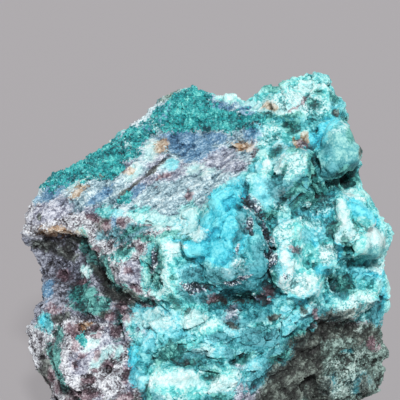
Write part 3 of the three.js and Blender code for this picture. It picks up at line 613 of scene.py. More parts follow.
block = finished(merged_copy("stone"), ("SUBSURF", {"levels": 2, "render_levels": 2}))
block_skin = bmesh.new()
block_skin.from_mesh(block)
block_tree = BVHTree.FromBMesh(block_skin)


def on_skin(across, up, proud):
    """The place standing proud of the block's skin straight behind a place of the front."""
    hit, normal, index, distance = block_tree.ray_cast(on_face(across, up, 80), -OUT)
    return hit + OUT * proud * MM


def face_axes(turn, tip=0.0):
    """Axes across, up and out of the front, turned about out and then tipped about across."""
    turned = Matrix.Rotation(math.radians(turn), 3, "Z") @ Matrix.Rotation(math.radians(tip), 3, "X")
    return Matrix((RIGHT, UP, OUT)).transposed() @ turned


def add_lump(shape, seed, corner_count, across, up, half_across, half_up, half_out, turn, proud):
    """A lump with its middle proud of the block's skin: angular, or round if it has no corners."""
    middle = on_skin(across, up, proud - 0.5 * half_out)
    axes = face_axes(turn)
    size = Vector((half_across, half_up, half_out)) * MM
    if corner_count:
        rng = random.Random(seed)
        spots = [Vector([rng.gauss(0, 1) for _ in "xyz"]).normalized() for _ in range(corner_count)]
        verts = [shape.verts.new(middle + axes @ (1.14 * spot * size)) for spot in spots]
        bmesh.ops.convex_hull(shape, input=verts)
        return
    for vert in bmesh.ops.create_icosphere(shape, subdivisions=4, radius=1)["verts"]:
        spot = vert.co + Vector((seed * 3.1, 0, 0))
        wobble = 1 + 0.16 * noise.noise(spot * 1.4) + 0.08 * noise.noise(spot * 3.1)
        vert.co = middle + axes @ (vert.co * size * wobble)


for seed, lump in enumerate(ROUND_LUMPS):
    add_lump(block_skin, seed, 0, *lump)
for seed, lump in enumerate(BROKEN_LUMPS):
    add_lump(block_skin, seed, HULL_CORNERS, *lump)

grown = bpy.data.meshes.new("grown")
block_skin.to_mesh(grown)


def near_line(local, points):
    """How far each place of the front is from a line through these points, in mm."""
    nearest = np.full(len(local), np.inf)
    for (x0, y0), (x1, y1) in zip(points, points[1:]):
        dx, dy = x1 - x0, y1 - y0
        gap_x, gap_y = local[:, 0] - x0, local[:, 1] - y0
        t = np.clip((gap_x * dx + gap_y * dy) / (dx * dx + dy * dy), 0, 1)
        nearest = np.minimum(nearest, np.hypot(gap_x - t * dx, gap_y - t * dy))
    return nearest


def in_patches(local, patches):
    """How far each place of the front lies inside the nearest of these patches, in mm."""
    depth = np.full(len(local), -9.0)
    for across, up, half_across, half_up, *turn in patches:
        angle = math.radians(turn[0] if turn else 0)
        cos, sin = math.cos(angle), math.sin(angle)
        dx, dy = local[:, 0] - across, local[:, 1] - up
        spread = np.hypot((dx * cos + dy * sin) / half_across, (dy * cos - dx * sin) / half_up)
        depth = np.maximum(depth, (1 - spread) * max(min(half_across, half_up), 1.2))
    return depth


def in_outline(local, points):
    """How far each place of the front lies inside this outline, in mm, below 0 outside it."""
    inside = np.zeros(len(local), bool)
    for (x0, y0), (x1, y1) in zip(points, points[1:] + points[:1]):
        crosses = (y0 > local[:, 1]) != (y1 > local[:, 1])
        reach = x0 + (local[:, 1] - y0) * (x1 - x0) / (y1 - y0 or 1)
        inside ^= crosses & (local[:, 0] < reach)
    edge = near_line(local, points + points[:1])
    return np.where(inside, edge, -edge)


# The smooth shifts of noise_vector start from the clock unless their seed is set.
NOISE_SEED = 1
noise.seed_set(NOISE_SEED)


def warped(local, spacing, reach):
    """The same places, each shifted by a smooth random amount."""
    return local + reach * sample(noise.noise_vector, local / spacing)


def mineral_depths(local):
    """How far inside each mineral every place lies, in mm: patches in front, drifts behind."""
    bent = warped(warped(local, 4.0, 1.1), 1.3, 0.45)
    front = smooth_step(-14.0, -4.0, local[:, 2] + 2 * (bent[:, 0] - local[:, 0]))
    depths = {}
    for order, (name, (spacing, share)) in enumerate(DRIFTS.items()):
        if name in AREAS:
            before = np.clip(in_outline(bent, AREAS[name]), -3, 3)
        else:
            before = in_patches(bent, PATCHES[name])
        drift = sample(lambda p: noise.fractal(p, 0.9, 2.0, 3), local / spacing + order * 7.3)
        behind = np.clip((drift - share) * 0.5 * spacing, -3, 3)
        depths[name] = front * before + (1 - front) * behind
    return depths


FACET_TURNS = np.array([(12.9, 39.3, 73.2), (78.2, 11.1, 52.7), (37.7, 83.2, 26.6)])


def facets(places, spacing, stepped):
    """Flat facets at random tilts, meeting in ridges or, by a share of stepped, in steps."""
    rows = []
    spots = places / spacing
    for spot in spots.tolist():
        reaches, (a, b, c, d) = noise.voronoi(spot)
        rows.append((reaches[1] - reaches[0], *a, *b, *c, *d))
    rows = np.array(rows)
    middles = rows[:, 1:].reshape(-1, 4, 3)
    leans = 2 * np.modf(np.abs(np.sin(middles @ FACET_TURNS) * 4375.0))[0] - 1
    planes = (leans * (spots[:, None] - middles)).sum(axis=2) + 0.5 * leans[:, :, 0]
    height = stepped * planes[:, 0] + (1 - stepped) * (planes.min(axis=1) + 0.5)
    return height * spacing, rows[:, 0] * spacing, leans[:, 0, 1]


def add_values(mesh, name, values):
    attribute = mesh.attributes.new(name, "FLOAT", "POINT")
    attribute.data.foreach_set("value", values.astype(np.float32))


def pushed_out(mesh, heights):
    """Moves every corner out along its normal by its height in mm, but not through the foot."""
    places = corners(mesh) + corners(mesh, "normal") * heights[:, None] * MM
    places[:, 2] = np.maximum(places[:, 2], 0)
    mesh.vertices.foreach_set("co", places.astype(np.float32).ravel())
    mesh.update()


body = finished(
    grown,
    ("REMESH", {"mode": "VOXEL", "voxel_size": COARSE_GRID}),
    ("SMOOTH", {"factor": 0.5, "iterations": 2}),
)
local = face_places(corners(body))
facing = corners(body, "normal") @ np.array(OUT)
foot = smooth_step(0.0, 2.5, corners(body)[:, 2] / MM)
front = smooth_step(0, 4, local[:, 2])
smooth = smooth_step(-0.6, 0.8, in_patches(local, SMOOTH)) * front
shelf = smooth_step(-1.0, 3.0, in_outline(local, AREAS["washed"])) * front
heights = 0.4 * sample(lambda p: noise.fractal(p, 0.8, 2.1, 3), local / 6)
height, seam, tone = facets(warped(local, 5.0, 0.8), LARGE_FACET, 0.35)
heights += 0.28 * height * (1 - 0.5 * shelf)
heights *= 1 - 0.85 * smooth
bent = warped(local, 3.0, 0.7)
for *points, half_width, depth in CLEFTS:
    inside = np.clip(1 - (near_line(bent, points) / half_width) ** 2, 0, 1)
    heights -= depth * inside * smooth_step(-0.2, 0.3, facing)
pushed_out(body, heights * foot)

body = finished(
    body,
    ("REMESH", {"mode": "VOXEL", "voxel_size": FINE_GRID}),
    ("SMOOTH", {"factor": 0.5, "iterations": 1}),
)
local = face_places(corners(body))
foot = smooth_step(0.0, 1.5, corners(body)[:, 2] / MM)
front = smooth_step(0, 4, local[:, 2])
smooth = smooth_step(-0.6, 0.8, in_patches(local, SMOOTH)) * front
eased = smooth_step(-0.6, 1.2, in_patches(local, EASED)) * front
shelf = smooth_step(-1.0, 3.0, in_outline(local, AREAS["washed"])) * front
crust = smooth_step(-1.0, 1.0, in_outline(local, AREAS["crust"])) * front
rough = np.minimum(1 - 0.92 * smooth, 1 - 0.5 * eased)
plates = smooth_step(-0.6, 1.0, in_patches(local, PLATED)) * front
height, seam, tone = facets(warped(local, 2.6, 0.5), MIDDLE_FACET, 0.65)
heights = (0.27 - 0.08 * crust) * height * (1 - 0.5 * shelf)
cracked = np.maximum(0.35 * smooth_step(-0.2, 0.3, tone), plates) * (1 - shelf) * rough
gaps = smooth_step(0.26, 0.0, seam) * cracked
heights -= 0.3 * gaps
height, seam, small_tone = facets(warped(local, 1.3, 0.25), SMALL_FACET, 0.6)
heights += 0.14 * height * (1 - 0.7 * plates)
grained = np.stack([
    (local[:, 0] * math.cos(RIB_TURN) + local[:, 1] * math.sin(RIB_TURN)) / 5,
    (local[:, 1] * math.cos(RIB_TURN) - local[:, 0] * math.sin(RIB_TURN)) / 0.9,
    local[:, 2] / 1.5,
], axis=1)
heights += 0.3 * sample(lambda p: noise.fractal(p, 0.9, 2.0, 2), grained) * (0.3 + 0.7 * shelf)
pushed_out(body, heights * foot * rough)
add_values(body, "tone", 0.6 * tone + 0.4 * small_tone)
add_values(body, "gaps", gaps)


def thinned(mesh, triangles, behind):
    """The mesh with about this many triangles, the places behind thinned to a fifth first."""
    holder = bpy.data.objects.new("holder", mesh)
    scene.collection.objects.link(holder)
    holder.vertex_groups.new(name="behind").add(np.flatnonzero(behind).tolist(), 1.0, "REPLACE")
    kept = 1 - 0.8 * float(behind.mean())
    first = holder.modifiers.new("behind", "DECIMATE")
    first.vertex_group = "behind"
    first.ratio = kept
    second = holder.modifiers.new("all", "DECIMATE")
    second.ratio = triangles / (2 * len(mesh.vertices) * kept)
    depsgraph = bpy.context.evaluated_depsgraph_get()
    result = bpy.data.meshes.new_from_object(holder.evaluated_get(depsgraph))
    bpy.data.objects.remove(holder)
    return result


CLOSING_ROUNDS = 3


def closed(mesh):
    """The mesh's largest skin, with faces crowded on one edge taken out and holes closed."""
    mesh.validate()
    shape = bmesh.new()
    shape.from_mesh(mesh)
    for _ in range(CLOSING_ROUNDS):
        crowded = [f for f in shape.faces if any(len(e.link_faces) > 2 for e in f.edges)]
        bmesh.ops.delete(shape, geom=crowded, context="FACES")
        bmesh.ops.delete(shape, geom=[v for v in shape.verts if not v.link_faces], context="VERTS")
        rims = [e for e in shape.edges if len(e.link_faces) == 1]
        bmesh.ops.holes_fill(shape, edges=rims, sides=0)
    shape.verts.index_update()
    skin_of = {}
    skins = []
    for start in shape.verts:
        if start.index in skin_of:
            continue
        skin_of[start.index] = len(skins)
        waiting = [start]
        skin = []
        while waiting:
            vert = waiting.pop()
            skin.append(vert)
            for edge in vert.link_edges:
                other = edge.other_vert(vert)
                if other.index not in skin_of:
                    skin_of[other.index] = len(skins)
                    waiting.append(other)
        skins.append(skin)
    largest = max(skins, key=len)
    for skin in skins:
        if skin is not largest:
            bmesh.ops.delete(shape, geom=skin, context="VERTS")
    bmesh.ops.recalc_face_normals(shape, faces=shape.faces)
    shape.to_mesh(mesh)
    shape.free()
    return mesh


facing = corners(body, "normal") @ np.array(OUT)
body = closed(thinned(body, BODY_TRIANGLES, facing < -0.25))


def relief_of(mesh, rounds):
    """How far each corner stands above its neighbourhood, in mm: below 0 in a hollow."""
    edges = np.empty(len(mesh.edges) * 2, np.int32)
    mesh.edges.foreach_get("vertices", edges)
    a, b = edges.reshape(-1, 2).T
    count = len(mesh.vertices)
    around = np.bincount(a, minlength=count) + np.bincount(b, minlength=count)
    eased = corners(mesh)
    for _ in range(rounds):
        total = np.empty_like(eased)
        for axis in range(3):
            total[:, axis] = np.bincount(a, eased[b, axis], count) + np.bincount(b, eased[a, axis], count)
        eased = 0.5 * eased + 0.5 * total / around[:, None]
    return ((corners(mesh) - eased) * corners(mesh, "normal")).sum(axis=1) / MM


for name, depth in mineral_depths(face_places(corners(body))).items():
    add_values(body, name, depth)
# Painted shade and light: this relief, less the seams of cracked plates, later darkens the colour in hollows
# and seams and pales it on raised places.
relief = relief_of(body, 12) + 0.4 * relief_of(body, 60) + 0.25 * relief_of(body, 300)
gaps = np.empty(len(body.vertices), np.float32)
body.attributes["gaps"].data.foreach_get("value", gaps)
add_values(body, "relief", relief - 0.5 * gaps)

# Weathered mineral surface: sugary quartz matrix, chalky to waxy copper crusts, all
# dull, with the colour broken up facet by facet and grain by grain, and painted
# shade darkening hollows and painted light paling raised places.
mineral = bpy.data.materials.new("copper_minerals_in_quartz")
mineral.use_nodes = True

# The quartz broke along a grain that climbs to the right across the front.
GRAIN = math.radians(33)
ALONG = RIGHT * math.cos(GRAIN) + UP * math.sin(GRAIN)
ACROSS = UP * math.cos(GRAIN) - RIGHT * math.sin(GRAIN)


def surface_signals(tree):
    """What varies a mineral's shade, each from about -1 to 1."""
    spot = tree.nodes.new("ShaderNodeTexCoord").outputs["Object"]
    cells = add(tree, "ShaderNodeTexVoronoi", {"Vector": spot, "Scale": 1 / (0.3 * MM)})
    parts = add(tree, "ShaderNodeSeparateColor", {"Color": cells.outputs["Color"]})
    bend = add(tree, "ShaderNodeTexNoise", {"Vector": spot, "Scale": 1 / (0.8 * MM), "Detail": 2.0})
    bent = add(tree, "ShaderNodeVectorMath", {
        0: bend.outputs["Color"], 1: (0.5 * MM,) * 3, 2: spot,
    }, operation="MULTIPLY_ADD")
    chips = add(tree, "ShaderNodeTexVoronoi", {"Vector": bent.outputs[0], "Scale": 1 / (0.85 * MM)})
    chip = add(tree, "ShaderNodeSeparateColor", {"Color": chips.outputs["Color"]})
    rims = add(tree, "ShaderNodeTexVoronoi", {
        "Vector": bent.outputs[0], "Scale": 1 / (0.85 * MM),
    }, feature="DISTANCE_TO_EDGE")
    fine = add(tree, "ShaderNodeTexNoise", {"Vector": spot, "Scale": 1 / (0.7 * MM), "Detail": 4.0})
    patchy = add(tree, "ShaderNodeTexNoise", {"Vector": spot, "Scale": 1 / (2.6 * MM), "Detail": 4.0})
    drawn = add(tree, "ShaderNodeCombineXYZ", {
        axis: add(tree, "ShaderNodeVectorMath", {
            0: spot, 1: direction / (width * MM),
        }, operation="DOT_PRODUCT").outputs["Value"]
        for axis, direction, width in (("X", ALONG, 5.0), ("Y", ACROSS, 0.8), ("Z", OUT, 1.4))
    })
    streak = add(tree, "ShaderNodeTexNoise", {
        "Vector": drawn.outputs["Vector"], "Scale": 1.0, "Detail": 3.0,
    })
    # The relief attribute brings painted shade into hollows and painted light onto raised places.
    relief = add(tree, "ShaderNodeAttribute", attribute_name="relief")
    tone = add(tree, "ShaderNodeAttribute", attribute_name="tone")
    signals = {}
    for name, value, low, high in (
        ("grain", parts.outputs[0], 0, 1), ("other", parts.outputs[1], 0, 1),
        ("third", parts.outputs[2], 0, 1), ("fine", fine.outputs["Fac"], 0.3, 0.7),
        ("chip", chip.outputs[0], 0, 1), ("rim", rims.outputs["Distance"], 0, 0.12),
        ("patchy", patchy.outputs["Fac"], 0.3, 0.7),
        ("streak", streak.outputs["Fac"], 0.3, 0.7),
        ("relief", relief.outputs["Fac"], -0.5, 0.5), ("tone", tone.outputs["Fac"], -1, 1),
    ):
        signals[name] = add(tree, "ShaderNodeMapRange", {
            "Value": value, "From Min": low, "From Max": high, "To Min": -1, "To Max": 1,
        }).outputs["Result"]
    return signals


def mineral_colour(tree, signals, parts, *stops):
    """A mineral's colour: its shades from dark to pale, spread by these parts of the signals."""
    level = 0.5
    for name, part in parts.items():
        level = add(tree, "ShaderNodeMath", {
            0: signals[name], 1: part, 2: level,
        }, operation="MULTIPLY_ADD").outputs[0]
    row = add(tree, "ShaderNodeValToRGB", {"Fac": level})
    for _ in stops[2:]:
        row.color_ramp.elements.new(0.5)
    for element, (place, code) in zip(row.color_ramp.elements, stops):
        element.position = place
        element.color = linear(code)
    return row.outputs["Color"]


tree = mineral.node_tree
shader = tree.nodes["Principled BSDF"]
signals = surface_signals(tree)
# The relief part of each look pales raised places and darkens hollows: painted light and shade.
sugary = {
    "chip": 0.12, "rim": 0.08, "grain": 0.34, "fine": 0.14,
    "patchy": 0.20, "tone": 0.10, "relief": 0.20, "streak": 0.08,
}
banded = {
    "chip": 0.08, "rim": 0.05, "grain": 0.27, "fine": 0.12,
    "patchy": 0.12, "tone": 0.08, "relief": 0.22, "streak": 0.20,
}
crusty = {
    "chip": 0.14, "rim": 0.10, "grain": 0.12, "fine": 0.18,
    "patchy": 0.24, "tone": 0.16, "relief": 0.22,
}
even = {
    "chip": 0.10, "rim": 0.07, "grain": 0.08, "fine": 0.14,
    "patchy": 0.16, "tone": 0.12, "relief": 0.16,
}
streaky = {
    "chip": 0.10, "rim": 0.08, "grain": 0.2, "fine": 0.14,
    "patchy": 0.20, "tone": 0.12, "relief": 0.20, "streak": 0.18,
}
speckled = {"grain": 0.42, "fine": 0.18, "relief": 0.3}
colour = mineral_colour(
    tree, signals, sugary,
    (0.05, "#282125"), (0.24, "#5B535B"), (0.46, "#94949B"), (0.66, "#B6BBC2"), (0.92, "#E8ECF0"),
)
looks = {
    "washed": (0.9, banded, (0.02, "#476977"), (0.3, "#7FA0AD"), (0.58, "#AACAD4"), (0.9, "#DFF2F5")),
    "crust": (1.0, crusty, (0.02, "#0F5258"), (0.3, "#34989E"), (0.55, "#66C6CA"), (0.92, "#B8F1EE")),
    # Painted shade over the brown-green of the shaded face.
    "shaded": (1.0, streaky, (0.05, "#191E1D"), (0.35, "#3B4743"), (0.6, "#5A716B"), (0.92, "#9CB8B0")),
    "lilac": (0.85, banded, (0.02, "#42414E"), (0.3, "#74768A"), (0.58, "#9DA2B4"), (0.9, "#DBDEE8")),
    # Violet greys, darkened as painted shade under the overhang.
    "dusky": (0.85, streaky, (0.05, "#1A1B24"), (0.35, "#41434F"), (0.6, "#646A7C"), (0.92, "#A6ACBC")),
    "turquoise": (0.9, crusty, (0.02, "#0D535D"), (0.3, "#1F838F"), (0.55, "#3DAAB5"), (0.9, "#86DADE")),
    "mint": (0.9, crusty, (0.02, "#25888A"), (0.3, "#4DBCBD"), (0.58, "#76DCDB"), (0.95, "#C6F7F1")),
    "pale_crust": (0.95, even, (0.02, "#3294A2"), (0.3, "#5CBCC9"), (0.55, "#7EDAE4"), (0.9, "#C2F4F6")),
    "chrysocolla": (0.95, even, (0.02, "#0E6A7C"), (0.3, "#229DB2"), (0.52, "#3FC9DD"), (0.82, "#7DEAF4")),
    # Pale chalky shades, partly painted light in shaded recesses.
    "chalk_and_painted_light": (0.85, even, (0.02, "#78B4B8"), (0.3, "#ABDBDD"), (0.58, "#CDEFEE"), (0.92, "#F2FCFA")),
    "waxy": (1.0, even, (0.02, "#1B5964"), (0.3, "#3C8C95"), (0.6, "#62B4B9"), (0.92, "#A6E2DC")),
    "sugared": (0.7, speckled, (0.05, "#1D5257"), (0.3, "#4E9CA1"), (0.54, "#80CACD"), (0.88, "#E2F6F5")),
    "dioptase": (0.95, crusty, (0.02, "#084851"), (0.35, "#147F85"), (0.65, "#2DAEAE"), (0.95, "#80E0D8")),
    "shattuckite": (0.9, banded, (0.02, "#2A4C6A"), (0.35, "#3F7398"), (0.6, "#5A8DB2"), (0.95, "#9CC0D6")),
    # Dark teal shades, partly painted shade where its patches lie under ledges.
    "teal_stain_and_painted_shade": (0.8, crusty, (0.02, "#04262D"), (0.3, "#0D4B55"), (0.56, "#1B7480"), (0.9, "#4FAAB7")),
    # Dark greens, partly painted shade where its patches lie in shade.
    "malachite_and_painted_shade": (0.9, crusty, (0.05, "#062428"), (0.38, "#0F4A4B"), (0.65, "#1F7874"), (0.95, "#6FC2B8")),
    # Dark brown greys, partly painted shade in the undercut and under the ribs.
    "iron_stain_and_painted_shade": (0.9, streaky, (0.05, "#151817"), (0.4, "#2D312E"), (0.66, "#494F4A"), (0.95, "#7E8981")),
    "weathered": (0.8, speckled, (0.05, "#26302E"), (0.3, "#50645F"), (0.56, "#7E9C96"), (0.9, "#C4DAD4")),
    "tenorite": (0.92, speckled, (0.25, "#0F0F18"), (0.58, "#2A2E40"), (0.78, "#68728A"), (0.96, "#DCE8EC")),
    "limonite": (0.8, crusty, (0.05, "#6A4628"), (0.4, "#A98055"), (0.66, "#C7AC8C"), (0.95, "#E6DACA")),
    "hematite": (0.85, crusty, (0.05, "#27141C"), (0.4, "#503642"), (0.7, "#846872"), (0.95, "#C2B4BA")),
}
ragged = 0.0
for name, part in (("fine", 0.35), ("other", 0.3), ("patchy", 0.4)):
    ragged = add(tree, "ShaderNodeMath", {
        0: signals[name], 1: part, 2: ragged,
    }, operation="MULTIPLY_ADD").outputs[0]
for name, (strength, parts, *stops) in looks.items():
    depth = add(tree, "ShaderNodeAttribute", attribute_name=name)
    edge = add(tree, "ShaderNodeMath", {0: depth.outputs["Fac"], 1: ragged})
    share = add(tree, "ShaderNodeMapRange", {
        "Value": edge.outputs[0], "From Min": -0.5, "From Max": 0.3, "To Max": strength,
    }, interpolation_type="SMOOTHSTEP")
    colour = add(tree, "ShaderNodeMix", {
        0: share.outputs["Result"], 6: colour, 7: mineral_colour(tree, signals, parts, *stops),
    }, data_type="RGBA").outputs[2]
# Painted shade: in hollows the colour is multiplied by itself, darker and more saturated.
hollow = add(tree, "ShaderNodeMapRange", {
    "Value": signals["relief"], "From Min": -0.2, "From Max": -1.5, "To Max": 0.75,
})
colour = add(tree, "ShaderNodeMix", {
    0: hollow.outputs["Result"], 6: colour, 7: colour,
}, data_type="RGBA", blend_type="MULTIPLY").outputs[2]
tree.links.new(colour, shader.inputs["Base Color"])
dull = add(tree, "ShaderNodeMapRange", {
    "Value": signals["third"], "From Min": -1, "To Min": 0.55, "To Max": 0.9,
})
tree.links.new(dull.outputs["Result"], shader.inputs["Roughness"])
shader.inputs["IOR"].default_value = 1.54
uneven = add(tree, "ShaderNodeMath", {0: signals["grain"], 1: signals["fine"]})
bump = add(tree, "ShaderNodeBump", {
    "Height": uneven.outputs[0], "Strength": 0.4, "Distance": 0.06 * MM,
})
tree.links.new(bump.outputs["Normal"], shader.inputs["Normal"])

stone = bpy.data.objects.new("stone_surface", body)
scene.collection.objects.link(stone)
local = face_places(corners(body))
smooth = in_patches(local, SMOOTH) * smooth_step(0, 4, local[:, 2]) > 0.2
body.polygons.foreach_set("use_smooth", [all(smooth[i] for i in p.vertices) for p in body.polygons])
body.materials.clear()
body.materials.append(mineral)
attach(stone, "root")
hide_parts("stone")

# ---------------------------------------------------------------------------
# Flakes of the crust that lie over each other like slates along its lower edge. They
# are thin, so they are made on a finer grid than the body, and joined into one skin.
# ---------------------------------------------------------------------------
FLAKE_GRID = 0.16 * MM
FLAKE_TRIANGLES = 60000

# Flakes of crust that lie over each other like slates: across and up of the middle,
# width, height, thickness, turn, and how far the lower edge is tipped outwards.
FLAKES = [
    (14.7, -9.2, 3.6, 2.2, 0.9, 12, 12),
    (16.9, -10.6, 3.0, 1.6, 0.8, 8, 12),
    (15.6, -12.6, 3.4, 3.4, 0.9, -12, 10),
    (12.2, -13.2, 3.0, 2.2, 0.8, 20, 12),
    (9.0, -12.6, 4.4, 2.0, 0.8, 8, 10),
    (5.2, -12.8, 4.4, 2.6, 0.9, -18, 12),
    (8.4, -14.4, 5.4, 1.6, 0.9, 4, 14),
    (12.4, -15.2, 4.4, 1.4, 0.9, 14, 14),
    (17.8, -13.8, 3.0, 2.0, 0.8, 30, 8),
    (1.4, -13.8, 3.4, 2.2, 0.9, -30, 10),
    (-1.4, -16.0, 4.4, 1.6, 0.9, 4, 15),
    (3.0, -17.0, 7.0, 2.6, 1.0, 2, 18),
    (9.4, -16.6, 4.6, 1.8, 0.9, 8, 16),
    (12.8, -17.4, 4.0, 1.4, 0.9, 14, 15),
    (9.6, -19.4, 6.0, 3.0, 0.9, 18, 20),
    (1.0, -19.8, 5.6, 1.6, 0.9, -4, 16),
    (4.4, -20.8, 5.4, 1.6, 0.9, 18, 16),
    (9.2, -21.6, 4.4, 1.4, 0.9, 26, 16),
    (3.2, -22.8, 5.6, 1.5, 1.2, 18, 20),
    (5.0, -25.2, 5.6, 2.2, 1.0, 14, 14),
    (1.2, -26.4, 5.0, 3.0, 0.9, -10, 10),
    (-7.2, -16.8, 5.4, 3.4, 0.9, 24, 20),
    (-3.8, -14.6, 4.4, 1.2, 0.8, 10, 14),
    (-7.6, -11.8, 6.6, 4.4, 0.8, 6, 6),
    (-2.6, -11.2, 4.4, 1.8, 0.9, 14, 12),
    (-7.2, -22.4, 8.0, 4.6, 0.6, 8, 5),
    (-6.2, -26.6, 7.6, 4.6, 0.6, -12, 5),
    (2.2, -9.4, 2.6, 1.6, 0.8, 24, 15),
    (9.0, -9.4, 3.2, 1.8, 0.8, -6, 14),
    (6.4, 22.8, 3.4, 1.4, 0.6, -18, 8),
    (-9.2, 8.2, 5.4, 2.4, 0.6, -8, 4),
    (-3.2, 9.2, 2.8, 3.4, 0.6, 0, 4),
]


def add_flake(shape, seed, across, up, width, height, thickness, turn, tip):
    """A flat, uneven flake, its upper edge sunk in the skin and its lower edge tipped out."""
    middle = on_skin(across, up, 0.9)
    axes = face_axes(turn, tip)
    rng = random.Random(seed)
    count = rng.randint(5, 7)
    rims = []
    for side, shrink in ((-0.5, 1.0), (0.5, 0.92)):
        rim = []
        for i in range(count):
            angle = 2 * math.pi * (i + 0.35 * math.sin(seed * 7 + i * 2.3)) / count
            reach = shrink * (1.05 + 0.2 * math.sin(seed * 5 + i * 1.7))
            spot = Vector((
                0.5 * width * reach * math.cos(angle),
                0.5 * height * reach * math.sin(angle),
                side * thickness,
            ))
            rim.append(shape.verts.new(middle + axes @ spot * MM))
        rims.append(rim)
    low, high = rims
    shape.faces.new(reversed(low))
    shape.faces.new(high)
    for i in range(count):
        j = (i + 1) % count
        shape.faces.new((low[i], low[j], high[j], high[i]))


flake_skin = bmesh.new()
for seed, flake in enumerate(FLAKES):
    add_flake(flake_skin, seed, *flake)
flakes = bpy.data.meshes.new("flakes")
flake_skin.to_mesh(flakes)
flakes = finished(flakes, ("REMESH", {"mode": "VOXEL", "voxel_size": FLAKE_GRID}),
                  ("SMOOTH", {"factor": 0.5, "iterations": 1}))
local = face_places(corners(flakes))
height, seam, tone = facets(warped(local, 2.0, 0.5), 1.9, 0.5)
gaps = smooth_step(0.2, 0.0, seam) * smooth_step(-0.4, 0.2, tone)
heights = 0.14 * height - 0.14 * gaps
height, seam, small_tone = facets(warped(local, 0.9, 0.2), 0.8, 0.6)
pushed_out(flakes, heights + 0.12 * height)
add_values(flakes, "tone", 0.6 * tone + 0.3 * small_tone)
add_values(flakes, "gaps", gaps)
kept = min(1.0, FLAKE_TRIANGLES / (2 * len(flakes.vertices)))
flakes = finished(flakes, ("DECIMATE", {"ratio": kept}))
for name, depth in mineral_depths(face_places(corners(flakes))).items():
    add_values(flakes, name, depth)
gaps = np.empty(len(flakes.vertices), np.float32)
flakes.attributes["gaps"].data.foreach_get("value", gaps)
# Painted shade and light on the flakes: relief darkens hollows and seams and pales raised places.
add_values(flakes, "relief", relief_of(flakes, 20) + 0.1 - 0.5 * gaps)
flakes.polygons.foreach_set("use_smooth", [False] * len(flakes.polygons))
flakes.materials.clear()
flakes.materials.append(mineral)
slates = bpy.data.objects.new("crust_flakes", flakes)
scene.collection.objects.link(slates)
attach(slates, "root")
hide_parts("stone")

# ---------------------------------------------------------------------------
# Grains and small crystals that stand on the body: broken sugary quartz, chips of
# the copper crust, and the glittering druse of dioptase. Each kind is joined into
# one mesh, and the grains and chips take the colour of what they stand on.
# ---------------------------------------------------------------------------


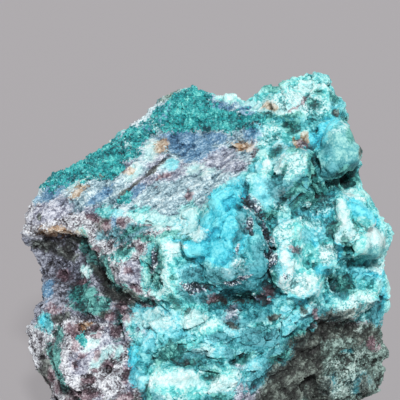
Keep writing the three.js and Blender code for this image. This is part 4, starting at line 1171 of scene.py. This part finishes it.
def crystal_tree():
    """Geometry Nodes that strew a small crystal over a surface, as thickly as an attribute says."""
    tree = bpy.data.node_groups.new("strewn_crystals", "GeometryNodeTree")
    face = tree.interface
    for name, kind in (
        ("Surface", "Geometry"), ("Where", "String"), ("Per Square Metre", "Float"),
        ("Width", "Float"), ("Length", "Float"), ("Tilt", "Float"), ("Sides", "Int"),
        ("Tip Width", "Float"), ("Uneven", "Float"), ("Seed", "Int"), ("Finish", "Material"),
    ):
        face.new_socket(name, in_out="INPUT", socket_type="NodeSocket" + kind)
    face.new_socket("Crystals", in_out="OUTPUT", socket_type="NodeSocketGeometry")
    given = tree.nodes.new("NodeGroupInput").outputs
    share = add(tree, "GeometryNodeInputNamedAttribute", {"Name": given["Where"]}, data_type="FLOAT")
    density = add(tree, "ShaderNodeMath", {
        0: share.outputs["Attribute"], 1: given["Per Square Metre"],
    }, operation="MULTIPLY")
    points = add(tree, "GeometryNodeDistributePointsOnFaces", {
        "Mesh": given["Surface"], "Density": density.outputs[0], "Seed": given["Seed"],
    })
    tone = add(tree, "FunctionNodeRandomValue", {2: -1.0, 3: 1.0, "Seed": 41}, data_type="FLOAT")
    toned = add(tree, "GeometryNodeStoreNamedAttribute", {
        "Geometry": points.outputs["Points"], "Name": "tone", "Value": tone.outputs[1],
    }, data_type="FLOAT", domain="POINT")
    # Painted light: each crystal is coloured as standing a little higher than the skin under it, so paler.
    under = add(tree, "GeometryNodeInputNamedAttribute", {"Name": "relief"}, data_type="FLOAT")
    raised = add(tree, "ShaderNodeMath", {
        0: under.outputs["Attribute"], 1: 0.5, 2: 0.12,
    }, operation="MULTIPLY_ADD")
    toned = add(tree, "GeometryNodeStoreNamedAttribute", {
        "Geometry": toned.outputs["Geometry"], "Name": "relief", "Value": raised.outputs[0],
    }, data_type="FLOAT", domain="POINT")
    tip = add(tree, "ShaderNodeMath", {0: given["Tip Width"], 1: 0.5}, operation="MULTIPLY")
    crystal = add(tree, "GeometryNodeMeshCone", {
        "Vertices": given["Sides"], "Radius Top": tip.outputs[0], "Radius Bottom": 0.5, "Depth": 1.0,
    }, fill_type="TRIANGLE_FAN")
    rooted = add(tree, "GeometryNodeTransform", {
        "Geometry": crystal.outputs["Mesh"], "Translation": (0, 0, -0.35),
    })
    back = add(tree, "ShaderNodeMath", {0: given["Tilt"], 1: -1.0}, operation="MULTIPLY")
    least = add(tree, "ShaderNodeCombineXYZ", {
        "X": back.outputs[0], "Y": back.outputs[0], "Z": -math.pi,
    })
    most = add(tree, "ShaderNodeCombineXYZ", {"X": given["Tilt"], "Y": given["Tilt"], "Z": math.pi})
    lean = add(tree, "FunctionNodeRandomValue", {
        "Min": least.outputs[0], "Max": most.outputs[0], "Seed": 11,
    }, data_type="FLOAT_VECTOR")
    turned = add(tree, "FunctionNodeRotateRotation", {
        "Rotation": points.outputs["Rotation"], "Rotate By": lean.outputs[0],
    }, rotation_space="LOCAL")
    wide = add(tree, "FunctionNodeRandomValue", {2: 0.5, 3: 1.5, "Seed": 21}, data_type="FLOAT")
    deep = add(tree, "FunctionNodeRandomValue", {2: 0.5, 3: 1.3, "Seed": 26}, data_type="FLOAT")
    tall = add(tree, "FunctionNodeRandomValue", {2: 0.5, 3: 1.4, "Seed": 31}, data_type="FLOAT")
    width = add(tree, "ShaderNodeMath", {0: wide.outputs[1], 1: given["Width"]}, operation="MULTIPLY")
    depth = add(tree, "ShaderNodeMath", {0: deep.outputs[1], 1: width.outputs[0]}, operation="MULTIPLY")
    height = add(tree, "ShaderNodeMath", {0: tall.outputs[1], 1: given["Length"]}, operation="MULTIPLY")
    size = add(tree, "ShaderNodeCombineXYZ", {
        "X": width.outputs[0], "Y": depth.outputs[0], "Z": height.outputs[0],
    })
    placed = add(tree, "GeometryNodeInstanceOnPoints", {
        "Points": toned.outputs["Geometry"], "Instance": rooted.outputs["Geometry"],
        "Rotation": turned.outputs["Rotation"], "Scale": size.outputs["Vector"],
    })
    real = add(tree, "GeometryNodeRealizeInstances", {"Geometry": placed.outputs["Instances"]})
    bend = add(tree, "ShaderNodeTexNoise", {"Scale": 1 / (1.1 * MM), "Detail": 1.0})
    middle = add(tree, "ShaderNodeVectorMath", {
        0: bend.outputs["Color"], 1: (0.5, 0.5, 0.5),
    }, operation="SUBTRACT")
    shift = add(tree, "ShaderNodeVectorMath", {
        0: middle.outputs[0], "Scale": given["Uneven"],
    }, operation="SCALE")
    bent = add(tree, "GeometryNodeSetPosition", {
        "Geometry": real.outputs["Geometry"], "Offset": shift.outputs[0],
    })
    done = add(tree, "GeometryNodeSetMaterial", {
        "Geometry": bent.outputs["Geometry"], "Material": given["Finish"],
    })
    result = tree.nodes.new("NodeGroupOutput")
    tree.links.new(done.outputs["Geometry"], result.inputs["Crystals"])
    return tree


def weighted_area(mesh, values):
    """The mesh's area in square metres, each face counted by its corners' mean value."""
    mesh.calc_loop_triangles()
    which = np.empty(len(mesh.loop_triangles) * 3, np.int32)
    mesh.loop_triangles.foreach_get("vertices", which)
    areas = np.empty(len(mesh.loop_triangles))
    mesh.loop_triangles.foreach_get("area", areas)
    return float((areas * values[which.reshape(-1, 3)].mean(axis=1)).sum())


crystals = crystal_tree()
socket_of = {item.name: item.identifier for item in crystals.interface.items_tree}


def strew(name, count, where, finish, **inputs):
    """About this many crystals over the body as one piece that rides with it."""
    carrier = bpy.data.objects.new(name, body.copy())
    scene.collection.objects.link(carrier)
    add_values(carrier.data, "where", where)
    modifier = carrier.modifiers.new("crystals", "NODES")
    modifier.node_group = crystals
    settings = {
        "Where": "where", "Per Square Metre": count / weighted_area(body, where),
        "Finish": finish, **inputs,
    }
    for key, value in settings.items():
        modifier[socket_of[key.replace("_", " ")]] = value
    depsgraph = bpy.context.evaluated_depsgraph_get()
    mesh = bpy.data.meshes.new_from_object(carrier.evaluated_get(depsgraph))
    carrier.modifiers.remove(modifier)
    carrier.data = mesh
    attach(carrier, "root")
    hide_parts("stone")


local = face_places(corners(body))
facing = corners(body, "normal") @ np.array(OUT)
front = smooth_step(0, 4, local[:, 2])
in_view = 0.35 + 0.65 * smooth_step(-0.4, 0.2, facing)
off_foot = smooth_step(1.5, 3.5, corners(body)[:, 2] / MM)
rough = 1 - smooth_step(-0.6, 0.4, in_patches(local, SMOOTH)) * front
depths = mineral_depths(local)
crust = smooth_step(-0.5, 0.5, depths["crust"])
shelf = smooth_step(-0.5, 1.5, depths["washed"]) * front
druse = smooth_step(-0.6, 0.4, depths["dioptase"])
plates = smooth_step(-1.5, 0.5, in_patches(local, PLATED)) * front
even = smooth_step(-0.5, 0.5, np.maximum(depths["chrysocolla"], depths["chalk_and_painted_light"]))

strew(
    "quartz_grains", 6500,
    in_view * off_foot * (1 - crust) * (1 - druse) * rough * (1 - 0.6 * shelf),
    mineral, Width=0.42 * MM, Length=0.24 * MM, Tilt=0.9,
    Sides=5, Tip_Width=0.6, Uneven=0.2 * MM, Seed=1,
)
strew(
    "crust_chips", 700,
    smooth_step(0.2, 0.6, facing) * off_foot * crust * rough * (1 - plates) * (1 - 0.7 * even),
    mineral, Width=0.9 * MM, Length=0.25 * MM, Tilt=0.4,
    Sides=5, Tip_Width=0.85, Uneven=0.3 * MM, Seed=2,
)

# Dioptase: glassy, emerald to teal crystals under a millimetre long, which catch the
# light on their faces and are dark between them.
dioptase = bpy.data.materials.new("glassy_dioptase_crystal")
dioptase.use_nodes = True
tree = dioptase.node_tree
shader = tree.nodes["Principled BSDF"]
signals = surface_signals(tree)
teal = mineral_colour(
    tree, signals, {"tone": 0.26, "grain": 0.12, "patchy": 0.34},
    (0.05, "#06454F"), (0.35, "#14868D"), (0.65, "#30B4B6"), (0.95, "#74D8D2"),
)
tree.links.new(teal, shader.inputs["Base Color"])
gloss = add(tree, "ShaderNodeMapRange", {
    "Value": signals["other"], "From Min": -1, "To Min": 0.36, "To Max": 0.7,
})
tree.links.new(gloss.outputs["Result"], shader.inputs["Roughness"])
shader.inputs["IOR"].default_value = 1.66
strew(
    "dioptase_druse", 3400, in_view * off_foot * druse,
    dioptase, Width=0.62 * MM, Length=0.45 * MM, Tilt=0.9,
    Sides=5, Tip_Width=0.45, Uneven=0.35 * MM, Seed=3,
)
